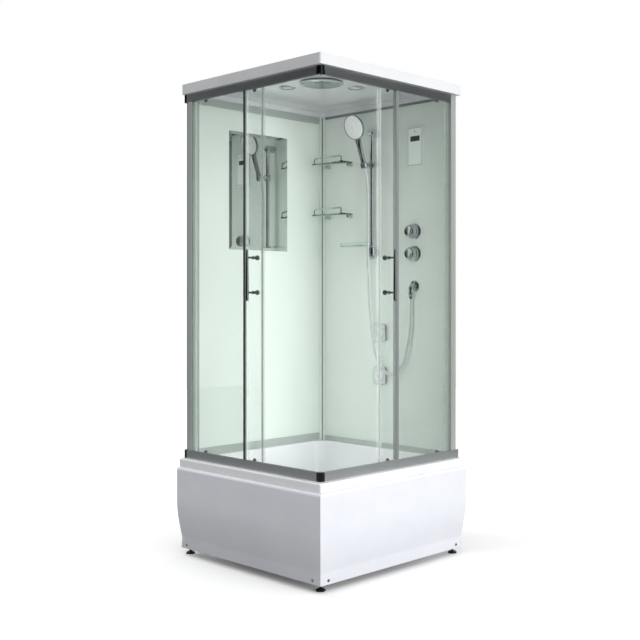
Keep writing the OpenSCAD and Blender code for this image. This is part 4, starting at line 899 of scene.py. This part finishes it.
rows = ((6, 6, 13.8), (13, 10, 13.6), (27, 18, 13.4), (35, 24, 13.2), (43, 30, 12.9), (50, 34, 12.6))
spots = [spot for r, n, h in rows for i, spot in enumerate(placesRound(r, n, h))
         if r < 45 or abs(i * 360 / n - 90) > 10]
sprayNozzles = repeated("sprayNozzles", nub, spots)
place(sprayNozzles, (0, 0, handset["headUp"]), outOfWall)
fit(place(sprayNozzles, handset["seat"], tilt), "spray_face", "grey_plastic",
    material=mouldedPlastic("mouldedPaleSilicone", "#B9C2C0", "#C2CAC8", (0.45, 0.6), 0.6))
print("hand shower")

# Mixer and diverter: ribbed chromed knobs with a dished face, on their wall plates
knob = {"x": 190, "front": 423.4, "mixerZ": 1488, "diverterZ": 1382, "spindle": 8, "spindleBack": 39.6}
outline = [(0, -knob["spindleBack"]), (knob["spindle"], -knob["spindleBack"]), (knob["spindle"], 0), (29, 0),
           (32.6, 1.6), (34, 4.6), (34, 10.4), (33, 13), (30.8, 14.6), (29.4, 17), (29.2, 32.6), (28.4, 36),
           (26.4, 38.6), (23.4, 39.8), (20.6, 39.4), (18.6, 38), (12, 37), (0, 36.8)]
for name, z, ribs, node, bodyName in (("mixerKnob", knob["mixerZ"], 24, "mixer_knob", "mixer_control"),
                                      ("diverterKnob", knob["diverterZ"], 12, "diverter_knob", "diverter_control")):
    core = turned(name, outline, 64)
    rib = turned("rib", [(0, 13.6), (1.4, 14), (2, 15.4), (2, 31.6), (1.5, 33.6), (0, 34.4)], 8)
    core = joined(name, [core, repeated("ribs", rib, turnsRound(29.2, ribs))])
    fit(place(core, (knob["x"], knob["front"], z), outOfWall), bodyName, "chrome", node)

# Hose elbow: a domed wall plate, a bent spout and a collar nut that holds the hose
elbow = {"x": 190, "z": 1227, "out": 403, "stub": 35, "nut": (1168, 1192), "plate": 29, "pipe": 11.9, "bend": 15,
         "root": 426, "tip": 1189}
rose = turned("elbowRose", [
    (0, -elbow["stub"]), (9, -elbow["stub"]), (9, 0), (elbow["plate"] - 0.6, 0), (elbow["plate"], 1),
    (elbow["plate"] - 0.4, 2.6), (26, 4.6), (20, 6.4), (14.5, 7.4), (13, 9), (12.4, 12), (0, 12)], 56,
    (elbow["x"], backWall, elbow["z"]), outOfWall)
spout = bentRod("elbowSpout", [
    (elbow["x"], elbow["root"], elbow["z"]), (elbow["x"], elbow["out"], elbow["z"]),
    (elbow["x"], elbow["out"], elbow["tip"])], elbow["pipe"], elbow["bend"])
low, high = elbow["nut"]
nut = turned("elbowNut", [
    (7.3, low), (9.4, low), (10.3, low + 1), (10.5, low + 3), (10.5, low + 15), (11.6, low + 17), (13, low + 19),
    (13, high), (12.2, high + 2), (11, high + 2.6)], 40, (elbow["x"], elbow["out"], 0))
fit(joined("elbowSpout", [rose, spout, nut]), "cabin", "chrome", "elbow_outlet")

# Body jets: square chromed frames with a round well, and swivelling white balls with nozzles
jet = {"x": -22, "heights": (1000, 791), "side": 84, "thick": 12, "corner": 13, "edge": 3, "well": 26.4, "pipe": 8,
       "pivot": 424, "ball": 26, "half": 10, "pin": 3, "pinGap": 0.15, "pinEnd": 33.5}
frames = []
for z in jet["heights"]:
    s = jet["side"] / 2
    block = beginBlock("jetFrame", (jet["x"] - s, backWall - jet["thick"], z - s), (jet["x"] + s, backWall, z + s))
    roundAlong(block, 1, jet["corner"], 6)
    roundBorder(block, lambda f: f.normal.y < -0.9, jet["edge"], 4)
    endEdit(40)
    cup = turned("jetCup", [(0, -35), (jet["pipe"], -35), (jet["pipe"], -19.5), (30.4, -20), (30.4, 1)], 56,
                 (jet["x"], backWall, z), outOfWall)
    cut(block, cup, "UNION")
    cut(block, rodFor(jet["well"], 26, 64, (jet["x"], backWall - 2, z), outOfWall))
    cut(block, rodFor(jet["pin"] + jet["pinGap"], 68, 16, (jet["x"], jet["pivot"], z), sideways))
    frames.append(smoothed(block, 35))
fit(joined("jetFrames", frames), "cabin", "chrome", "jet_frames")
for name, z, node, bodyName in (("upperJetBall", jet["heights"][0], "jet_upper", "upper_jet"),
                                ("lowerJetBall", jet["heights"][1], "jet_lower", "lower_jet")):
    r, half, end = jet["ball"], jet["half"], jet["pinEnd"]
    flat = math.sqrt(r * r - half * half)
    sideArc = arc((0, 0), r, -12, 12, 2)
    face = [(flat, half - 0.3), (flat - 1.2, half), (19, half), (17.8, half - 1.2), (0, half - 1.2)]
    ball = turned(name, [(0, -half), (flat, -half)] + sideArc + face, 56, (0, 0, 0), outOfWall)
    pin = turned("jetPin", [(0, -end), (jet["pin"], -end), (jet["pin"], end), (0, end)], 16, (0, 0, 0), sideways)
    ball = joined(name, [ball, pin])
    fit(place(ball, (jet["x"], jet["pivot"], z)), bodyName, "white_plastic", node)
    nub = turned("nub", [(2.0, -0.4), (1.7, 0.8), (1.1, 1.2), (0.5, 1.2)], 8)
    spots = [spot for q, n in ((0, 1), (7, 6), (13.5, 12)) for spot in placesRound(q, n, half - 1.2)]
    nubs = place(repeated(name + "Nozzles", nub, spots), (0, 0, 0), outOfWall)
    fit(place(nubs, (jet["x"], jet["pivot"], z)), bodyName, "grey_plastic", material=siliconeGrey)
print("knobs, elbow and jets")

# Control panel: a thin moulded plate with a sunk display and one round sensor window, otherwise bare
panel = {"low": (153.5, 418, 1798), "high": (250.5, backWall, 1985), "corner": 8, "edge": 2, "groove": 2.2, "line": 2.6,
         "grooveDepth": 0.9, "display": (58, 25), "displayZ": 1929, "sunk": 2, "clear": 0.2, "glass": (1.2, 2.5),
         "glassEdge": 2.4, "glassFall": 0.35, "sensorZ": 1962, "box": ((177, 429, 1844), (227, 455, 1942))}
middleX = (panel["low"][0] + panel["high"][0]) / 2
board = beginBlock("controlPanelPlate", panel["low"], panel["high"])
roundAlong(board, 1, panel["corner"], 6)
roundBorder(board, lambda f: f.normal.y < -0.9, panel["edge"], 3)
pick(board, "FACE", lambda f: f.normal.y < -0.99)
bpy.ops.mesh.inset(thickness=panel["groove"] * mm)
bpy.ops.mesh.inset(thickness=panel["line"] / 2 * mm, depth=-panel["grooveDepth"] * mm)
bpy.ops.mesh.inset(thickness=panel["line"] / 2 * mm, depth=panel["grooveDepth"] * mm)
endEdit(30)
w, h = panel["display"]
left, right, front = middleX - w / 2, middleX + w / 2, panel["low"][1]
foot, top = panel["displayZ"] - h / 2, panel["displayZ"] + h / 2
cutter = beginBlock("displayCutter", (left, front - 8, foot), (right, front + panel["sunk"], top))
roundAlong(cutter, 1, 2, 3)
endEdit()
cut(board, cutter)
smoothed(board, 30)
backBox = beginBlock("panelBox", *panel["box"])
endEdit()
panelPlastic = mouldedPlastic("mouldedPaleAbs", "#FBFFFD", "#F6FBF8", (0.3, 0.4), 2)
# The groove's painted shade: a dark band at one depth from the plate's edge, along the groove
tree, shader = partsOf(panelPlastic)
heart = [(a + b) / 2 * mm for a, b in zip(panel["low"], panel["high"])]
half = [(b - a) / 2 * mm for a, b in zip(panel["low"], panel["high"])]
out = vectors(tree, "MULTIPLY", objectPlace(tree), (1, 0, 1))
out = vectors(tree, "ABSOLUTE", vectors(tree, "SUBTRACT", out, (heart[0], 0, heart[2])))
across, along, upward = axesOf(tree, vectors(tree, "SUBTRACT", out, (half[0], 0, half[2])))
depth = -(panel["edge"] + panel["groove"] + panel["line"] / 2) * mm
line = maths(tree, "COMPARE", maths(tree, "MAXIMUM", across, upward), depth, panel["line"] / 2 * mm)
# Painted shade in the groove
overlay(tree, shader, line, "#6F7B76")
fit(joined("controlPanelPlate", [board, backBox]), "cabin", "white_plastic", "control_panel", material=panelPlastic)
near, far = panel["glass"]
display = beginBlock("displayWindow", (left + panel["clear"], front + near, foot + panel["clear"]),
                     (right - panel["clear"], front + far, top - panel["clear"]))
pick(display, "FACE", lambda f: f.normal.y < -0.9)
bpy.ops.mesh.inset(thickness=panel["glassEdge"] * mm)
bpy.ops.transform.translate(value=(0, panel["glassFall"] * mm, 0))
endEdit(3)
lcdGlass = mouldedPlastic("darkDisplayGlass", "#2B322F", "#313A36", (0.05, 0.1), 6, 0.00001, Coat_Weight=1.0,
                          Coat_Roughness=0.03)
fit(display, "cabin", "gloss_black", material=lcdGlass)
sensor = turned("sensorWindow", [
    (0, 0), (6.6, 0), (6.6, 0.6), (5.8, 0.9), (5.2, 0.3), (0, 0.45)], 32,
    (middleX, front + panel["clear"], panel["sensorZ"]), outOfWall)
fit(sensor, "cabin", "white_plastic", material=mouldedPlastic("frostedSensorWindow", "#D5DFDA", "#CDD8D2", (0.3, 0.4)))
print("control panel")

# Lamps: chromed rings round opal lenses, under the ceiling
lamps = {"middles": ((150, 70), (-70, -150)), "ceiling": 2128, "ring": 38, "lens": 28.5}
rings, lenses = [], []
for x, y in lamps["middles"]:
    r, z = lamps["ring"], lamps["ceiling"]
    ring = turned("lampRing", [
        (r - 9, z - 6), (r - 5.6, z - 6.4), (r - 2.6, z - 5.2), (r - 0.8, z - 3), (r, z - 0.8), (r, z),
        (r - 7.3, z), (r - 7.3, z + 15), (r - 9.4, z + 15), (r - 9.4, z - 5.4), (r - 9, z - 6)], 48, (x, y, 0))
    lens = turned("lampLens", [
        (0, z - 4.6), (12, z - 4.3), (22, z - 3.2), (26.6, z - 2), (lamps["lens"], z - 0.6),
        (lamps["lens"], z + 12), (0, z + 12)], 48, (x, y, 0))
    rings.append(ring)
    lenses.append(lens)
fit(joined("lampLenses", lenses), "cabin", "lamp_cover", "ceiling_lamps")
fit(joined("lampRings", rings), "cabin", "chrome")

# Slide bar's mounts: a turned wall mount above, a rounded bracket with its wall arm below
bar = {"x": -42, "y": 388, "top": 1980, "low": 1392, "bore": 10.02}
upper = turned("upperMount", [
    (0, -13), (3.8, -13), (3.8, 0), (18.4, 0), (19, 0.8), (19, 5), (18.2, 6.4), (17.4, 7.2), (17.4, 8.8),
    (18.2, 9.6), (19, 11), (19, 50), (18.3, 53), (16, 55.2), (12.6, 56), (0, 56)], 48,
    (bar["x"], backWall, bar["top"]), outOfWall)
z = bar["low"]
lower = turned("lowerMount", [
    (0, z - 33), (8, z - 31.4), (14.6, z - 27), (18.8, z - 21.4), (20.7, z - 15), (21, z - 11), (20.2, z - 10),
    (20.2, z - 8.8), (21, z - 7.8), (21, z + 26), (20, z + 29.6), (17.6, z + 31.8), (0, z + 32)], 48,
    (bar["x"], bar["y"], 0))
arm = turned("lowerArm", [
    (0, -13), (3.8, -13), (3.8, 0), (18, 0), (18.6, 0.8), (18.2, 3), (15, 6), (14.4, 9), (14.4, 42), (0, 42)], 40,
    (bar["x"], backWall, z), outOfWall)
cut(lower, arm, "UNION")
for mount, middleZ in ((upper, bar["top"] - 31), (lower, z + 49)):
    cut(mount, rodFor(bar["bore"], 58, 40, (bar["x"], bar["y"], middleZ)))
fit(joined("slideBarMounts", [upper, lower]), "cabin", "chrome", "bar_mounts")

# Slider, cradle and clamp: a grooved collar with two ears, a split cup on a barrel, a scalloped knob
slide = {"z": 1822, "ear": 27, "earThick": 6, "earAt": 10, "earRound": 9, "earRoot": -12.4, "shaftBore": 4.05,
         "knobAt": 20.3}
collar = turned("sliderCollar", [
    (10.1, -19), (14.4, -19), (15.6, -18.2), (16, -16.6), (16, -13.4), (15.2, -12.6), (15.2, -11), (16, -10.2),
    (16, 10.2), (15.2, 11), (15.2, 12.6), (16, 13.4), (16, 16.6), (15.6, 18.2), (14.4, 19), (10.1, 19),
    (10.1, -19)], 48, (bar["x"], bar["y"], slide["z"]))
boss = turned("clampBoss", [
    (4.05, 14), (8, 14), (8, 18.4), (7.4, 19.7), (6.6, 20), (4.05, 20), (4.05, 14)], 28,
    (bar["x"], bar["y"], slide["z"]), sideways)
parts = [collar, boss]
for s in (-1, 1):
    left = s * slide["earAt"] - slide["earThick"] / 2
    outline = [(slide["earRoot"], slide["earRound"])] + arc((-slide["ear"], 0), slide["earRound"], 90, 270, 14)
    outline.append((slide["earRoot"], -slide["earRound"]))
    ear = drawWire("sliderEar", [(left, y, z) for y, z in outline])
    bpy.ops.mesh.edge_face_add()
    pull(slide["earThick"], 0, 0)
    endEdit(30)
    cut(ear, rodFor(slide["shaftBore"], 20, 28, (left + 3, -slide["ear"], 0), sideways))
    modify(ear, "BEVEL", width=0.8 * mm, segments=2, limit_method="ANGLE", angle_limit=math.radians(50))
    parts.append(place(ear, (bar["x"], bar["y"], slide["z"])))
fit(joined("sliderCollar", parts), "bar_slider", "chrome", "slider")
barrel = turned("cradleBarrel", [
    (0, -15), (4, -15), (4, -6.7), (7.4, -6.7), (8, -6), (8, 6), (7.4, 6.7), (4, 6.7), (4, 15), (0, 15)], 32,
    (bar["x"], bar["y"] - slide["ear"], slide["z"]), sideways)
link = beginBlock("cradleLink", (bar["x"] - 6.7, handset["seat"][1] + 13, slide["z"] - 7),
                  (bar["x"] + 6.7, bar["y"] - slide["ear"] - 6, slide["z"] + 7))
roundAlong(link, 1, 2.4, 3)
endEdit()
cup = turned("cradleCup", [
    (12.8, -26), (14.6, -26), (15.8, -25.2), (16.6, -23.4), (17, -20), (17, -4), (16.5, -1.6), (15.6, -0.6),
    (14.2, -0.3), (12.8, -0.3), (12.8, -26)], 56)
slot = beginBlock("cupSlot", (-8, -40, -30), (8, 0, 4))
endEdit()
cut(cup, slot)
place(cup, handset["seat"], tilt)
fit(joined("cradleCup", [barrel, link, cup]), "tilting_cradle", "chrome", "cradle")
grip = turned("clampKnob", [
    (0, -9.9), (4, -9.9), (4, 0), (9, 0), (11, 0.9), (12, 3), (12, 13.2), (11.2, 15), (9.4, 16.2), (6, 16.8),
    (0, 17)], 40)
scallop = turned("scallop", [(0, 3.8), (1.6, 4.1), (2.4, 5), (2.4, 11.6), (1.7, 12.5), (0, 12.8)], 10)
grip = joined("clampKnob", [grip, repeated("scallops", scallop, turnsRound(11.2, 8))])
fit(place(grip, (bar["x"] + slide["knobAt"], bar["y"], slide["z"]), sideways), "slider_knob", "chrome", "clamp_knob")
print("slider and mounts")

# Soap dish: a clear moulded tray with a rolled edge and drain slots, gripping the bar
dish = {"middle": (-134, 374), "size": (160, 92), "z": 1426, "high": 18, "corner": 24, "wall": 4, "floor": 3,
        "slots": 5, "slotGap": 22, "slotSize": (6, 50), "slotRound": 2.9, "lipRound": 1.4, "collar": 16}
(mx, my), (w, d) = dish["middle"], dish["size"]
soap = beginBlock("soapDishTray", (mx - w / 2, my - d / 2, dish["z"]),
                  (mx + w / 2, my + d / 2, dish["z"] + dish["high"]))
roundAlong(soap, 2, dish["corner"], 8)
pick(soap, "FACE", lambda f: f.normal.z > 0.9)
bpy.ops.mesh.inset(thickness=dish["wall"] * mm)
pull(0, 0, dish["floor"] - dish["high"])
pick(soap, "EDGE", lambda e: abs(e.verts[0].co.z - e.verts[1].co.z) < 1e-6 and len(e.link_faces) == 2
     and e.calc_face_angle() > 1.2 and middle(e).z > dish["z"] + 4)
bpy.ops.mesh.bevel(offset=dish["lipRound"] * mm, segments=3)
endEdit(35)
cut(soap, rodFor(dish["collar"], dish["high"], 48, (bar["x"], bar["y"], dish["z"] + dish["high"] / 2)), "UNION")
cut(soap, rodFor(bar["bore"], 50, 40, (bar["x"], bar["y"], dish["z"])))
for i in range(dish["slots"]):
    x = mx + (i - 2) * dish["slotGap"]
    sw, sd = dish["slotSize"]
    slot = beginBlock("drainSlot", (x - sw / 2, my - sd / 2, dish["z"] - 5), (x + sw / 2, my + sd / 2, dish["z"] + 8))
    roundAlong(slot, 2, dish["slotRound"], 4)
    endEdit()
    cut(soap, slot)
fit(smoothed(soap, 35), "cabin", "clear_plastic", "soap_dish")

# Door handles: a tapered bar outside on two posts, flanged against the glass, with knobs inside
pullBar = {"x": 0, "bar": -448, "inside": -382, "foot": 1160, "posts": (1196, 1346)}
handle = turned("pullBar", [
    (0, 0), (4.4, 0.3), (6, 1.4), (6.8, 3.4), (7, 7), (7, 40), (6.8, 90), (6, 160), (5.2, 205), (4.9, 216),
    (4.2, 219.6), (2.8, 221.4), (0, 222)], 32, (pullBar["x"], pullBar["bar"], pullBar["foot"]))
parts = [handle]
for z in pullBar["posts"]:
    post = turned("pullPost", [
        (0, 0), (8.6, 0), (10.2, 0.6), (11, 2), (11, 8.4), (10.3, 9.7), (8, 10), (6.4, 10.8), (6, 12), (6, 25.9),
        (4, 25.9), (4, 31.1), (7.4, 31.1), (8, 31.8), (8, 33.6), (6.8, 34.9), (4.8, 35.8), (4.2, 37.4), (4.2, 66),
        (0, 66)], 32, (pullBar["x"], pullBar["inside"], z), outOfWall)
    parts.append(post)
frontPull = joined("frontPullHandle", parts)
# Painted shade: the pull handles get a darker copy of the chrome, standing in for the dark surroundings they reflect
frontPull.data.materials.append(polishedMetal("polishedChromePaintedShade", "#8A8E90", "#7F8385", (0.04, 0.1), 9))
sidePull = mirrored(frontPull, "sidePullHandle")
fit(frontPull, "front_door", "chrome", "front_handle")
fit(sidePull, "side_door", "chrome", "side_handle")

# Valve plates: two shallow domed discs behind the knobs
plates = []
for z in (knob["mixerZ"], knob["diverterZ"]):
    disc = turned("valvePlate", [
        (16.3, 0), (38.4, 0), (39, 0.7), (38.6, 2.2), (36, 3.8), (30, 5.2), (22, 5.9), (17.4, 6), (16.3, 5.2),
        (16.3, 0)], 64, (knob["x"], backWall, z), outOfWall)
    plates.append(disc)
fit(joined("valvePlates", plates), "cabin", "chrome", "valve_plates")

# Waste cover: a domed strainer with drain holes round a raised middle, on three clips
strainer = {"middle": (-8.5, 8.5), "z": 118.2, "holes": 12, "holeAt": 31, "holeSize": 3.4}
cover = turned("wasteStrainer", [
    (0, 3), (26, 3), (26, 0.2), (42, 0.2), (43, 1), (43, 2.4), (41, 3.4), (36, 4.5), (24, 6.2), (21, 6.2),
    (20, 5.4), (19, 6.6), (10, 7.3), (0, 7.5)], 64)
for spot in placesRound(strainer["holeAt"], strainer["holes"], 3):
    cut(cover, rodFor(strainer["holeSize"], 30, 16, spot.translation / mm))
parts = [cover]
for i in range(3):
    clip = beginBlock("clip", (26, -4, -13.8), (28, 4, 1.2))
    bpy.ops.mesh.bevel(offset=0.5 * mm, segments=2)
    endEdit()
    parts.append(place(clip, (0, 0, 0), (0, 0, 120 * i)))
cover = smoothed(joined("wasteStrainer", parts), 35)
fit(place(cover, (*strainer["middle"], strainer["z"])), "waste_lid", "chrome", "waste_cover")
print("soap dish, handles and small fittings")

box = [list(corner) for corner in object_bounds()]
